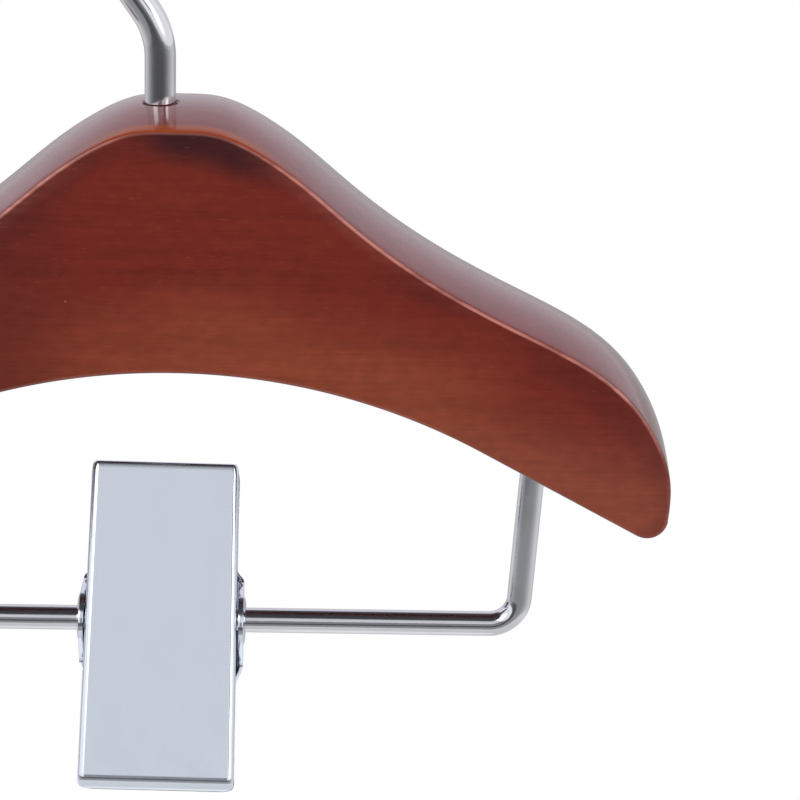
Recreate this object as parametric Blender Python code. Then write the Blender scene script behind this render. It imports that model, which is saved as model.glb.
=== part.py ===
"""Pet clothes hanger: a one-piece wooden body on a swivel hook, with a wire bar and one sprung clip.

Metres, +Z up, +X to the right and -Y to the front. The origin is the hook seat, the inside top of the
hook, where a rail carries the hanger.
"""

from math import acos, atan2, cos, hypot, pi, radians, sin, sqrt, tan

import bmesh
import bpy
import numpy as np

MM = 0.001

# Running gap between pieces that move, and between pieces that only touch.
CLEARANCE = 0.3 * MM
# How far a cutter runs past the face that it opens.
OVERRUN = 4.0 * MM
ROUND_SIDES = 32

# Swivel hook: round wire. A plain stem, a neck bend to the left, a straight run and a round loop.
HOOK_WIRE = 5.4 * MM
HOOK_LOOP_RADIUS = 19.3 * MM
HOOK_NECK_RADIUS = 14.5 * MM
HOOK_NECK_TURN = radians(35)
HOOK_TIP_ANGLE = radians(-15)
HOOK_STEM_SHOWN = 7.907 * MM
HOOK_OFF_CENTRE = 2.9 * MM
HOOK_TIP_ROUND = 2.4 * MM
HOOK_LOOP_STEPS = 26
HOOK_NECK_STEPS = 8
# Rounding of the free end: share of the rounding length, then share of the wire's radius.
HOOK_TIP_SHARES = ((0.0, 1.0), (0.45, 0.9), (0.8, 0.65), (1.0, 0.3))

# Wooden body, seen from the front. The outline is symmetric about X = 0.
BODY_HALF_WIDTH = 87.2 * MM
BODY_DROP = 74.1 * MM
BODY_DEPTH = 28.0 * MM
BODY_WAIST = 42.85 * MM
BODY_CROWN = 1.8 * MM
BODY_EDGE = 0.5 * MM
BODY_TIP_RADIUS = 3.7 * MM
# Straight run of the underside at each end, from the arch to the tip's corner.
BODY_UNDER_RUN = 37.0 * MM
# The tip's corner before rounding, as a share of the half width.
BODY_TIP_SHARE = 0.990
# Control points of the top edge from the crest to the tip: shares of the half width and of the drop.
BODY_TOP_SHARES = (
    (0.080, -0.004),
    (0.160, 0.039),
    (0.250, 0.111),
    (0.345, 0.212),
    (0.450, 0.307),
    (0.575, 0.397),
    (0.700, 0.470),
    (0.815, 0.536),
    (0.905, 0.612),
    (0.967, 0.712),
    (1.003, 0.820),
    (1.000, 0.910),
)
BODY_TOP_STEPS = 5
ARCH_STEPS = 14
TIP_STEPS = 6
CROWN_STEPS = 7

# Bolted end of the hook: a pocket in the arch holds the washer and the nut.
HOOK_BORE_CLEARANCE = 0.4 * MM
COUNTERSINK = 0.8 * MM
POCKET_DIAMETER = 15.0 * MM
POCKET_DEPTH = 9.0 * MM
WASHER_DIAMETER = 12.5 * MM
WASHER_THICKNESS = 1.2 * MM
NUT_ACROSS_FLATS = 10.0 * MM
NUT_HEIGHT = 5.0 * MM
STEM_PAST_NUT = 1.0 * MM

# Clip bar: a wire bent to a wide U, its legs leaning out and pressed into the body.
BAR_WIRE = 4.5 * MM
BAR_BELOW_ARCH = 51.3 * MM
BAR_HALF_SPAN = 61.9 * MM
BAR_BEND_RADIUS = 5.5 * MM
BAR_LEAN = radians(3.6)
BAR_SOCKET_DEPTH = 12.0 * MM
BAR_BEND_STEPS = 8

# Clip: two channel jaws of sheet steel that hinge about the bar.
CLIP_X = -2.5 * MM
CLIP_SWING = radians(26)
CLIP_SKEW = radians(0.8)
CLIP_BAR_CLEARANCE = 0.5 * MM
JAW_SHEET = 0.9 * MM
JAW_BEND_RADIUS = 1.3 * MM
JAW_FACE = 6.5 * MM
JAW_TILT = radians(3)
JAW_ABOVE = 28.1 * MM
JAW_BELOW = 29.0 * MM
JAW_TOP_HALF_WIDTH = 13.2 * MM
JAW_BOTTOM_HALF_WIDTH = 14.0 * MM
JAW_RIM = 2.6 * MM
JAW_LIP_DROP = 1.7 * MM
JAW_LIP_BACK = 1.4 * MM
JAW_LIP_NARROWING = 0.9 * MM
EAR_FOOT = 7.4 * MM
EAR_BOSS_HEIGHT = 0.4 * MM
EAR_BOSS_BASE = 4.9 * MM
EAR_BOSS_TOP = 3.4 * MM
JOGGLE_ABOVE = 2.4 * MM
JOGGLE_BELOW = 4.0 * MM
BEND_STEPS = 3
EAR_STEPS = 6

# Spacer sleeve on the bar, and the torsion spring wound round it.
SLEEVE_WALL = 0.5 * MM
SPRING_WIRE = 1.1 * MM
SPRING_PITCH = 1.6 * MM
SPRING_TURNS = 8
SPRING_POINTS_PER_TURN = 10
SPRING_LEG = 16.0 * MM

# Soft pads inside the jaws' gripping ends.
PAD_HEIGHT = 12.5 * MM
PAD_ABOVE_CREASE = 0.8 * MM
PAD_ROUND = 0.8 * MM

# Places that follow from the sizes above.
LOOP_Z = -(HOOK_LOOP_RADIUS - HOOK_WIRE / 2)
LOOP_ENTRY_X = -HOOK_LOOP_RADIUS * cos(HOOK_NECK_TURN)
LOOP_ENTRY_Z = LOOP_Z - HOOK_LOOP_RADIUS * sin(HOOK_NECK_TURN)
STEM_X = -HOOK_OFF_CENTRE
NECK_X = STEM_X - HOOK_NECK_RADIUS * (1 - cos(HOOK_NECK_TURN))
NECK_Z = LOOP_ENTRY_Z - (NECK_X - LOOP_ENTRY_X) / tan(HOOK_NECK_TURN)
STEM_TOP_Z = NECK_Z - HOOK_NECK_RADIUS * sin(HOOK_NECK_TURN)
CROWN_Z = STEM_TOP_Z - HOOK_STEM_SHOWN
CREST_Z = CROWN_Z - BODY_CROWN
ARCH_Z = CREST_Z - BODY_WAIST
TIP_X = BODY_TIP_SHARE * BODY_HALF_WIDTH
TIP_Z = CREST_Z - BODY_DROP
# The arch's circle runs tangent to both straight runs and touches its own apex.
ARCH_RISE = ARCH_Z - TIP_Z
ARCH_RADIUS = (TIP_X**2 + ARCH_RISE**2 - BODY_UNDER_RUN**2) / (2 * ARCH_RISE)
ARCH_CENTRE_Z = ARCH_Z - ARCH_RADIUS
ARCH_TURN = atan2(TIP_X, TIP_Z - ARCH_CENTRE_Z) - atan2(BODY_UNDER_RUN, ARCH_RADIUS)
BAR_Z = ARCH_Z - BAR_BELOW_ARCH
POCKET_Z = ARCH_Z + POCKET_DEPTH
WASHER_Z = POCKET_Z - CLEARANCE - WASHER_THICKNESS
NUT_Z = WASHER_Z - CLEARANCE - NUT_HEIGHT
STEM_END_Z = NUT_Z - STEM_PAST_NUT
HOOK_BORE = HOOK_WIRE + 2 * HOOK_BORE_CLEARANCE
CLIP_BORE = BAR_WIRE + 2 * CLIP_BAR_CLEARANCE
JAW_MIDDLE_HALF_WIDTH = (
    JAW_TOP_HALF_WIDTH * JAW_BELOW + JAW_BOTTOM_HALF_WIDTH * JAW_ABOVE
) / (JAW_ABOVE + JAW_BELOW)
JOGGLE = JAW_SHEET + CLEARANCE
# An ear of one jaw turns just inside the face of the other.
EAR_RADIUS = JAW_FACE - JAW_SHEET - CLEARANCE
SLEEVE_HALF_LENGTH = JAW_MIDDLE_HALF_WIDTH - JAW_SHEET - CLEARANCE
SLEEVE_RADIUS = CLIP_BORE / 2 + SLEEVE_WALL
SPRING_RADIUS = SLEEVE_RADIUS + CLEARANCE + SPRING_WIRE / 2


def clear_scene():
    for item in list(bpy.data.objects):
        bpy.data.objects.remove(item, do_unlink=True)


def make_material(name, colour, roughness, metallic):
    material = bpy.data.materials.new(name)
    material.use_nodes = True
    shader = material.node_tree.nodes["Principled BSDF"]
    shader.inputs["Base Color"].default_value = (*colour, 1)
    shader.inputs["Roughness"].default_value = roughness
    shader.inputs["Metallic"].default_value = metallic
    return material


def place(item, parent, location, rotation):
    bpy.context.scene.collection.objects.link(item)
    item.parent = parent
    item.location = location
    item.rotation_euler = rotation
    return item


def add_empty(name, parent=None, location=(0, 0, 0), rotation=(0, 0, 0)):
    return place(bpy.data.objects.new(name, None), parent, location, rotation)


def add_mesh(
    name, points, faces, material, parent=None, location=(0, 0, 0), rotation=(0, 0, 0)
):
    """A mesh object with its faces turned outward, shaded smooth except at its hard edges."""
    mesh = bpy.data.meshes.new(name)
    shell = bmesh.new()
    corners = [shell.verts.new(point) for point in points]
    for face in faces:
        shell.faces.new([corners[i] for i in face])
    bmesh.ops.recalc_face_normals(shell, faces=shell.faces)
    shell.to_mesh(mesh)
    shell.free()
    mesh.shade_smooth()
    mesh.set_sharp_from_angle(angle=radians(35))
    mesh.materials.append(material)
    return place(bpy.data.objects.new(name, mesh), parent, location, rotation)


def loft(sections):
    """Points and faces of the closed solid through sections that have equally many points."""
    count = len(sections[0])
    points = [point for section in sections for point in section]
    faces = []
    for row in range(len(sections) - 1):
        for i in range(count):
            following = (i + 1) % count
            low, high = row * count, (row + 1) * count
            faces.append((low + i, low + following, high + following, high + i))
    faces.append(tuple(range(count)))
    faces.append(tuple(range((len(sections) - 1) * count, len(sections) * count)))
    return points, faces


def turn_ring(profile, sides=ROUND_SIDES):
    """Points and faces of a closed profile of (radius, height), turned about Z."""
    count = len(profile)
    points = []
    faces = []
    for side in range(sides):
        angle = 2 * pi * side / sides
        points += [(r * cos(angle), r * sin(angle), z) for r, z in profile]
        for i in range(count):
            following = (i + 1) % count
            here, there = side * count, (side + 1) % sides * count
            faces.append(
                (here + i, there + i, there + following, here + following)
            )
    return points, faces


def turn_solid(profile, sides=ROUND_SIDES):
    """Points and faces of a stack of (radius, height) discs about Z, closed at both ends."""
    sections = [
        [
            (r * cos(2 * pi * side / sides), r * sin(2 * pi * side / sides), z)
            for side in range(sides)
        ]
        for r, z in profile
    ]
    return loft(sections)


def add_cutter(name, shape, parent=None, location=(0, 0, 0), rotation=(0, 0, 0)):
    cutter = add_mesh(name, *shape, CUTTER_MATERIAL, parent, location, rotation)
    cutter.hide_render = True
    cutter.display_type = "WIRE"
    return cutter


def combine(item, other, operation):
    modifier = item.modifiers.new(other.name, "BOOLEAN")
    modifier.operation = operation
    modifier.solver = "EXACT"
    modifier.object = other


def add_wire(name, path, wire, resolution, material, parent=None):
    """A round wire along path, a list of points with their share of the wire's radius."""
    curve = bpy.data.curves.new(name, "CURVE")
    curve.dimensions = "3D"
    curve.bevel_depth = wire / 2
    curve.bevel_resolution = resolution
    curve.use_fill_caps = True
    spline = curve.splines.new("POLY")
    spline.points.add(len(path) - 1)
    for point, (place_at, share) in zip(spline.points, path):
        point.co = (*place_at, 1)
        point.radius = share
    spline.use_smooth = True
    curve.materials.append(material)
    return place(bpy.data.objects.new(name, curve), parent, (0, 0, 0), (0, 0, 0))


def spline_points(controls, steps):
    """A uniform cubic B-spline through the plane, held at both ends of its control points."""
    held = [controls[0]] * 2 + list(controls) + [controls[-1]] * 2
    points = []
    for i in range(len(held) - 3):
        for step in range(steps):
            t = step / steps
            weights = (
                (1 - t) ** 3 / 6,
                (3 * t**3 - 6 * t**2 + 4) / 6,
                (-3 * t**3 + 3 * t**2 + 3 * t + 1) / 6,
                t**3 / 6,
            )
            near = held[i : i + 4]
            points.append(
                tuple(sum(w * p[axis] for w, p in zip(weights, near)) for axis in (0, 1))
            )
    points.append(controls[-1])
    return points


def body_outline():
    """The front outline, clockwise from the left tip, as (x, z)."""
    right = [
        (x * BODY_HALF_WIDTH, CREST_Z - z * BODY_DROP) for x, z in BODY_TOP_SHARES
    ]
    left = [(-x, z) for x, z in reversed(right)]
    top = spline_points(
        [(-TIP_X, TIP_Z), *left, (0, CREST_Z), *right, (TIP_X, TIP_Z)],
        BODY_TOP_STEPS,
    )

    before_tip = top[-4]
    side = atan2(before_tip[1] - TIP_Z, before_tip[0] - TIP_X)
    under = pi - ARCH_TURN
    half_corner = (under - side) / 2
    middle = (side + under) / 2
    centre_away = BODY_TIP_RADIUS / sin(half_corner)
    centre = (TIP_X + centre_away * cos(middle), TIP_Z + centre_away * sin(middle))
    tangent_away = BODY_TIP_RADIUS / tan(half_corner)
    rounding = []
    for step in range(TIP_STEPS + 1):
        angle = side - pi / 2 - step / TIP_STEPS * (pi - 2 * half_corner)
        x = centre[0] + BODY_TIP_RADIUS * cos(angle)
        rounding.append((x, centre[1] + BODY_TIP_RADIUS * sin(angle)))

    top_edge = [
        (x, z) for x, z in top if hypot(abs(x) - TIP_X, z - TIP_Z) > tangent_away
    ]
    arch = []
    for step in range(2 * ARCH_STEPS + 1):
        angle = ARCH_TURN * (1 - step / ARCH_STEPS)
        x = ARCH_RADIUS * sin(angle)
        arch.append((x, ARCH_CENTRE_Z + ARCH_RADIUS * cos(angle)))
    left_rounding = [(-x, z) for x, z in reversed(rounding)]
    return top_edge + rounding + arch + left_rounding


def crown_height(y):
    """Rise of the crowned top above its front edge, a circular arc across the body's depth."""
    half = BODY_DEPTH / 2
    radius = (half**2 + BODY_CROWN**2) / (2 * BODY_CROWN)
    return sqrt(radius**2 - y**2) - (radius - BODY_CROWN)


def body_sections():
    """The outline at each depth. The crown rises upright, so it fades where the outline turns down."""
    outline = body_outline()
    count = len(outline)
    normals = []
    for i in range(count):
        before, after = outline[i - 1], outline[(i + 1) % count]
        along_x, along_z = after[0] - before[0], after[1] - before[1]
        length = hypot(along_x, along_z)
        normals.append((-along_z / length, along_x / length))
    inner = BODY_DEPTH / 2 - BODY_EDGE
    rows = [(-BODY_DEPTH / 2, -BODY_EDGE)]
    rows += [
        (inner * (2 * step / CROWN_STEPS - 1), 0) for step in range(CROWN_STEPS + 1)
    ]
    rows += [(BODY_DEPTH / 2, -BODY_EDGE)]
    sections = []
    for y, inset in rows:
        section = []
        for (x, z), (nx, nz) in zip(outline, normals):
            out = inset + max(nz, 0) * crown_height(y)
            section.append((x + nx * out, y, z + nz * out))
        sections.append(section)
    return sections


def make_body(material):
    body = add_mesh("wooden_body", *loft(body_sections()), material)
    bore = HOOK_BORE / 2
    top = CROWN_Z + OVERRUN
    hook_cutter = add_cutter(
        "hook_hole_cutter",
        turn_solid(
            [
                (POCKET_DIAMETER / 2, ARCH_Z - OVERRUN),
                (POCKET_DIAMETER / 2, POCKET_Z),
                (bore, POCKET_Z),
                (bore, CROWN_Z - COUNTERSINK),
                (bore + COUNTERSINK + OVERRUN, top),
            ]
        ),
        location=(STEM_X, 0, 0),
    )
    combine(body, hook_cutter, "DIFFERENCE")
    for side, name in ((-1, "left"), (1, "right")):
        foot, end = bar_leg(side)
        bottom = (end[0] - foot[0], end[1] - foot[1])
        length = hypot(*bottom) + CLEARANCE
        leg_cutter = add_cutter(
            "bar_socket_cutter_" + name,
            turn_solid(
                [(BAR_WIRE / 2 + CLEARANCE, 0), (BAR_WIRE / 2 + CLEARANCE, length)]
            ),
            location=(foot[0], 0, foot[1]),
            rotation=(0, side * BAR_LEAN, 0),
        )
        combine(body, leg_cutter, "DIFFERENCE")


def hook_path():
    """From the free end over the loop and down the stem, with each point's share of the wire's radius."""
    path = []
    start = HOOK_TIP_ANGLE
    end = pi + HOOK_NECK_TURN
    tip_turn = HOOK_TIP_ROUND / HOOK_LOOP_RADIUS
    for along, share in reversed(HOOK_TIP_SHARES):
        angle = start + (1 - along) * tip_turn
        path.append((loop_point(angle), share))
    for step in range(1, HOOK_LOOP_STEPS + 1):
        angle = start + tip_turn + step / HOOK_LOOP_STEPS * (end - start - tip_turn)
        path.append((loop_point(angle), 1))
    neck_centre = STEM_X - HOOK_NECK_RADIUS
    for step in range(HOOK_NECK_STEPS + 1):
        angle = HOOK_NECK_TURN * (1 - step / HOOK_NECK_STEPS)
        x = neck_centre + HOOK_NECK_RADIUS * cos(angle)
        z = STEM_TOP_Z + HOOK_NECK_RADIUS * sin(angle)
        path.append(((x, 0, z), 1))
    path.append(((STEM_X, 0, STEM_END_Z), 1))
    return path


def loop_point(angle):
    return (HOOK_LOOP_RADIUS * cos(angle), 0, LOOP_Z + HOOK_LOOP_RADIUS * sin(angle))


def make_hook(chrome, plated):
    add_wire("swivel_hook", hook_path(), HOOK_WIRE, 4, chrome)
    hole = HOOK_WIRE / 2 + CLEARANCE
    washer = WASHER_DIAMETER / 2
    add_mesh(
        "hook_washer",
        *turn_ring(
            [
                (hole, 0),
                (washer, 0),
                (washer, WASHER_THICKNESS),
                (hole, WASHER_THICKNESS),
            ]
        ),
        plated,
        location=(STEM_X, 0, WASHER_Z),
    )
    corner = NUT_ACROSS_FLATS / 2 / cos(pi / 6)
    nut = add_mesh(
        "hook_nut",
        *turn_solid([(corner, 0), (corner, NUT_HEIGHT)], sides=6),
        plated,
        location=(STEM_X, 0, NUT_Z),
    )
    nut_cutter = add_cutter(
        "nut_hole_cutter",
        turn_solid([(hole, -OVERRUN), (hole, NUT_HEIGHT + OVERRUN)]),
        location=(STEM_X, 0, NUT_Z),
    )
    combine(nut, nut_cutter, "DIFFERENCE")


def bar_leg(side):
    """Where a leg's straight run starts above its bend, and where it ends in the body, as (x, z)."""
    turn = pi / 2 - BAR_LEAN
    corner_reach = BAR_BEND_RADIUS * tan(turn / 2)
    foot_x = BAR_HALF_SPAN + corner_reach * sin(BAR_LEAN)
    foot_z = BAR_Z + corner_reach * cos(BAR_LEAN)
    # The underside is straight where the leg meets it, falling from the arch to the tip.
    under_z = TIP_Z + (TIP_X - foot_x) * tan(ARCH_TURN)
    rise = (under_z - foot_z) / (1 + tan(BAR_LEAN) * tan(ARCH_TURN))
    end_z = foot_z + rise + BAR_SOCKET_DEPTH * cos(BAR_LEAN)
    end_x = foot_x + (end_z - foot_z) * tan(BAR_LEAN)
    return (side * foot_x, foot_z), (side * end_x, end_z)


def make_bar(chrome):
    turn = pi / 2 - BAR_LEAN
    bend_x = BAR_HALF_SPAN - BAR_BEND_RADIUS * tan(turn / 2)
    right = []
    for step in range(BAR_BEND_STEPS + 1):
        angle = turn * step / BAR_BEND_STEPS
        x = bend_x + BAR_BEND_RADIUS * sin(angle)
        right.append((x, BAR_Z + BAR_BEND_RADIUS * (1 - cos(angle))))
    right.append(bar_leg(1)[1])
    points = [(-x, z) for x, z in reversed(right)] + right
    add_wire("clip_bar", [((x, 0, z), 1) for x, z in points], BAR_WIRE, 4, chrome)


def jaw_half_width(z):
    span = JAW_ABOVE + JAW_BELOW
    return JAW_TOP_HALF_WIDTH + (JAW_ABOVE - z) / span * (
        JAW_BOTTOM_HALF_WIDTH - JAW_TOP_HALF_WIDTH
    )


def channel_section(z, half_width, face, rim_end):
    """One level of a channel: its outer side, round two bends, and back along its inner side."""

    def side(inset, radius):
        run = [(-half_width + inset, rim_end)]
        for centre, first in (
            (-half_width + JAW_BEND_RADIUS, pi),
            (half_width - JAW_BEND_RADIUS, 3 * pi / 2),
        ):
            for step in range(BEND_STEPS + 1):
                angle = first + pi / 2 * step / BEND_STEPS
                x = centre + radius * cos(angle)
                y = face + JAW_BEND_RADIUS + radius * sin(angle)
                run.append((x, y))
        run.append((half_width - inset, rim_end))
        return run

    outer = side(0, JAW_BEND_RADIUS)
    inner = side(JAW_SHEET, JAW_BEND_RADIUS - JAW_SHEET)
    return [(x, y, z) for x, y in outer + inner[::-1]]


def jaw_levels(joggle):
    """Levels of a jaw from top to lip: (height, half width, face, rim end). The face is at -Y."""
    rim = -JAW_FACE + JAW_RIM
    levels = [(JAW_ABOVE, 0, rim)]
    levels += [(EAR_FOOT + JOGGLE_ABOVE, 0, rim), (EAR_FOOT, joggle, rim)]
    for step in range(EAR_STEPS + 1):
        angle = radians(15) + step / EAR_STEPS * radians(150)
        levels.append((EAR_RADIUS * cos(angle), joggle, EAR_RADIUS * sin(angle)))
    levels += [(-EAR_FOOT, joggle, rim), (-EAR_FOOT - JOGGLE_BELOW, 0, rim)]
    levels += [(-JAW_BELOW, 0, rim)]
    built = [
        (z, jaw_half_width(z) + extra, -JAW_FACE, rim_end)
        for z, extra, rim_end in levels
    ]
    face = -JAW_FACE + JAW_LIP_BACK
    width = JAW_BOTTOM_HALF_WIDTH - JAW_LIP_NARROWING
    lip_end = face + JAW_BEND_RADIUS + CLEARANCE
    built.append((-JAW_BELOW - JAW_LIP_DROP, width, face, lip_end))
    return built


def make_jaw(name, joggle, turned, chrome, parent):
    """A jaw, hinged at its own origin. Its ears are bored for the bar, and an outer ear has a boss."""
    sections = [channel_section(*level) for level in jaw_levels(joggle)]
    rotation = (JAW_TILT, 0, turned)
    jaw = add_mesh(name, *loft(sections), chrome, parent, rotation=rotation)
    across = (0, pi / 2, 0)
    if joggle:
        outside = JAW_MIDDLE_HALF_WIDTH + joggle
        for side, label in ((-1, "left"), (1, "right")):
            boss = add_cutter(
                name + "_boss_" + label,
                turn_solid(
                    [
                        (EAR_BOSS_BASE, outside - JAW_SHEET / 2),
                        (EAR_BOSS_BASE, outside),
                        (EAR_BOSS_TOP, outside + EAR_BOSS_HEIGHT),
                    ]
                ),
                parent,
                rotation=(0, side * pi / 2, 0),
            )
            combine(jaw, boss, "UNION")
    reach = JAW_BOTTOM_HALF_WIDTH + OVERRUN
    bore = add_cutter(
        name + "_bore",
        turn_solid([(CLIP_BORE / 2, -reach), (CLIP_BORE / 2, reach)]),
        parent,
        rotation=across,
    )
    combine(jaw, bore, "DIFFERENCE")
    return jaw


def make_pad(name, turned, rubber, parent):
    """A wedge pad: its back lies along the jaw's face, its front meets the other pad upright."""
    low = -JAW_BELOW + PAD_ABOVE_CREASE
    high = low + PAD_HEIGHT
    back = -JAW_FACE + JAW_SHEET + CLEARANCE
    half = min(jaw_half_width(low), jaw_half_width(high)) - JAW_SHEET - CLEARANCE

    def front(z):
        return (z * sin(JAW_TILT) - CLEARANCE / 2) / cos(JAW_TILT)

    outline = [
        (back, low),
        (front(low) - PAD_ROUND, low),
        (front(low + PAD_ROUND), low + PAD_ROUND),
        (front(high - PAD_ROUND), high - PAD_ROUND),
        (front(high) - PAD_ROUND, high),
        (back, high),
    ]
    sections = [[(x, y, z) for y, z in outline] for x in (-half, half)]
    rotation = (JAW_TILT, 0, turned)
    add_mesh(name, *loft(sections), rubber, parent, rotation=rotation)


def spring_path():
    """A torsion spring about X: down the front leg, round the coils and up the rear leg."""
    wall = JAW_FACE - JAW_SHEET
    end_y = wall * cos(JAW_TILT) + SPRING_LEG * sin(JAW_TILT)
    end_y -= CLEARANCE + SPRING_WIRE / 2
    bearing = atan2(SPRING_LEG, -end_y)
    tangent = acos(SPRING_RADIUS / hypot(SPRING_LEG, end_y))
    start = bearing + tangent
    sweep = 2 * pi * SPRING_TURNS + (3 * pi - 2 * start)
    half_width = SPRING_PITCH * sweep / (2 * pi) / 2
    steps = round(SPRING_POINTS_PER_TURN * sweep / (2 * pi))
    path = [(-half_width, -end_y, SPRING_LEG)]
    for step in range(steps + 1):
        angle = start + sweep * step / steps
        x = half_width * (2 * step / steps - 1)
        path.append((x, SPRING_RADIUS * cos(angle), SPRING_RADIUS * sin(angle)))
    path.append((half_width, end_y, SPRING_LEG))
    return path


def least_gap(path, wire):
    """The least gap between stretches of one wire that lie more than half a turn apart."""
    ends = np.array(path)
    fine = [
        a + (b - a) * t for a, b in zip(ends, ends[1:]) for t in np.linspace(0, 1, 8)
    ]
    points = np.array(fine)
    steps = np.linalg.norm(np.diff(points, axis=0), axis=1)
    along = np.concatenate([[0], np.cumsum(steps)])
    apart = np.linalg.norm(points[:, None] - points[None], axis=2)
    far = np.abs(along[:, None] - along[None]) > pi * SPRING_RADIUS
    return apart[far].min() - wire


def make_clip(chrome, plated, spring_steel, rubber):
    rotation = (-CLIP_SWING, CLIP_SKEW, 0)
    carriage = add_empty("clip_carriage", None, (CLIP_X, 0, BAR_Z), rotation)
    rear_hinge = add_empty("rear_jaw_hinge", carriage)
    front_hinge = add_empty("front_jaw_hinge", carriage)
    add_mesh(
        "clip_sleeve",
        *turn_ring(
            [
                (CLIP_BORE / 2, -SLEEVE_HALF_LENGTH),
                (SLEEVE_RADIUS, -SLEEVE_HALF_LENGTH),
                (SLEEVE_RADIUS, SLEEVE_HALF_LENGTH),
                (CLIP_BORE / 2, SLEEVE_HALF_LENGTH),
            ]
        ),
        plated,
        carriage,
        rotation=(0, pi / 2, 0),
    )
    make_jaw("clip_front_jaw", 0, 0, chrome, front_hinge)
    make_jaw("clip_rear_jaw", JOGGLE, pi, chrome, rear_hinge)
    make_pad("front_jaw_pad", 0, rubber, front_hinge)
    make_pad("rear_jaw_pad", pi, rubber, rear_hinge)
    path = spring_path()
    wire = [(point, 1) for point in path]
    add_wire("clip_spring", wire, SPRING_WIRE, 1, spring_steel, rear_hinge)
    gap = least_gap(path, SPRING_WIRE)
    print(f"least gap of the clip spring to itself: {gap / MM:.2f} mm")


clear_scene()
CUTTER_MATERIAL = make_material("cutter", (0.8, 0.1, 0.1), 0.5, 0)
lacquered_wood = make_material("lacquered_wood", (0.16, 0.03, 0.015), 0.25, 0)
bright_chrome = make_material("bright_chrome", (0.78, 0.78, 0.8), 0.12, 1)
zinc_plate = make_material("zinc_plate", (0.55, 0.55, 0.54), 0.35, 1)
tempered_steel = make_material("tempered_steel", (0.45, 0.45, 0.46), 0.3, 1)
grey_vinyl = make_material("grey_vinyl", (0.35, 0.36, 0.37), 0.55, 0)
make_body(lacquered_wood)
make_hook(bright_chrome, zinc_plate)
make_bar(bright_chrome)
make_clip(bright_chrome, zinc_plate, tempered_steel, grey_vinyl)
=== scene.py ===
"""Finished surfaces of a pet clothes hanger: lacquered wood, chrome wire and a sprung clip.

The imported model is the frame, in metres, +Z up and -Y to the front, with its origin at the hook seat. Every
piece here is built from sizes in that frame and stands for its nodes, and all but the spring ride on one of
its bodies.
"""

from math import atan2, cos, hypot, pi, radians, sin, sqrt, tan
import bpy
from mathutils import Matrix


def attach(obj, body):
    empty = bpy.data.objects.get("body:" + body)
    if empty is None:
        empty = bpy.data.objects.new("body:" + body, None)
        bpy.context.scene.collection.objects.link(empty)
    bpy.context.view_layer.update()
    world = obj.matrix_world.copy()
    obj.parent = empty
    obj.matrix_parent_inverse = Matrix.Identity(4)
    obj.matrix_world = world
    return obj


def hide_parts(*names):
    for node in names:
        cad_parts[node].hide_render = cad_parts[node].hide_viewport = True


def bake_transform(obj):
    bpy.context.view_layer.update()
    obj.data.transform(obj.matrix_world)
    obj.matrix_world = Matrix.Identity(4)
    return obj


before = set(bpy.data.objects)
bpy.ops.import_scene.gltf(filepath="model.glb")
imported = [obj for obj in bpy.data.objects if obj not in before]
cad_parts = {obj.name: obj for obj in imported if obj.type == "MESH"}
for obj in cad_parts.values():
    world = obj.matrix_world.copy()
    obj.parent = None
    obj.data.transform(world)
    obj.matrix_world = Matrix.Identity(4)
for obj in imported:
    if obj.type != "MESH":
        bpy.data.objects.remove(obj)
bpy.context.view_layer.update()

from types import SimpleNamespace

import bmesh
import bpy
import numpy as np
from bpy.props import FloatProperty, FloatVectorProperty, IntProperty, PointerProperty
from bpy.types import Operator, Panel, PropertyGroup
from mathutils import Euler, Matrix, Vector

bl_info = {
    "name": "Pet Clothes Hanger",
    "version": (1, 0, 0),
    "blender": (4, 5, 0),
    "location": "View3D > Sidebar > Hanger",
    "description": "Builds the finished surfaces of a wooden hanger with a clip, and a studio round it",
    "category": "Add Mesh",
}

MM = 0.001
SHARP_ANGLE = radians(40)
# How far a cutter runs past the face that it opens.
OVERRUN = 4.0 * MM
# A support line this near to a bend keeps the flat beside it flat to the eye.
SUPPORT = 0.2 * MM

# Settings that many nodes share: a step that is eased at both ends, and a mix of colours.
EASED = {"interpolation_type": "SMOOTHSTEP"}
IN_COLOUR = {"data_type": "RGBA"}

# Control points of the body's top edge from the crest to the tip: shares of the half width and of the drop.
BODY_TOP_SHARES = (
    (0.080, -0.004),
    (0.160, 0.039),
    (0.250, 0.111),
    (0.345, 0.212),
    (0.450, 0.307),
    (0.575, 0.397),
    (0.700, 0.470),
    (0.815, 0.536),
    (0.905, 0.612),
    (0.967, 0.712),
    (1.003, 0.820),
    (1.000, 0.910),
)

# Points below the hook seat that the flags and the lamps face.
FLAG_TARGET = (0, 0, -0.12)
LAMP_TARGET = (0, 0, -0.1)
# Flags and glowing cards: name, centre, width and height, shade, the share that fades out, and glow. The last
# two cards stand in for the bright faces of the lamps.
FLAGS = (
    ("overhead_flag", (0, -0.1, 0.9), (2.6, 2.8), "#454549", 0.5, 1.0),
    ("camera_flag", (0.03, -1.25, -0.01), (0.7, 0.5), "#8e8e92", 0.3, 1.0),
    ("front_card", (0, -1.3, 0.5), (0.9, 0.5), "#dfe0e3", 0.3, 1.0),
    ("back_flag", (0, 2.9, -0.45), (10, 2.0), "#c4c1c8", 1.0, 1.0),
    ("back_card", (0, 3.2, 2.0), (12, 5.2), "#e8e4ee", 0.2, 1.0),
    ("left_flag", (-1.75, 0.9, -0.1), (1.1, 1.2), "#606165", 0.3, 1.0),
    ("right_flag", (0.75, -1.1, 0.55), (0.55, 0.8), "#85898f", 0.4, 1.0),
    ("key_card", (-0.75, -1.0, 0.65), (1.0, 0.8), "#ffffff", 0.4, 3.0),
    ("fill_card", (1.15, -0.9, 0.45), (0.75, 1.0), "#ffffff", 0.4, 3.0),
)


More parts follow.
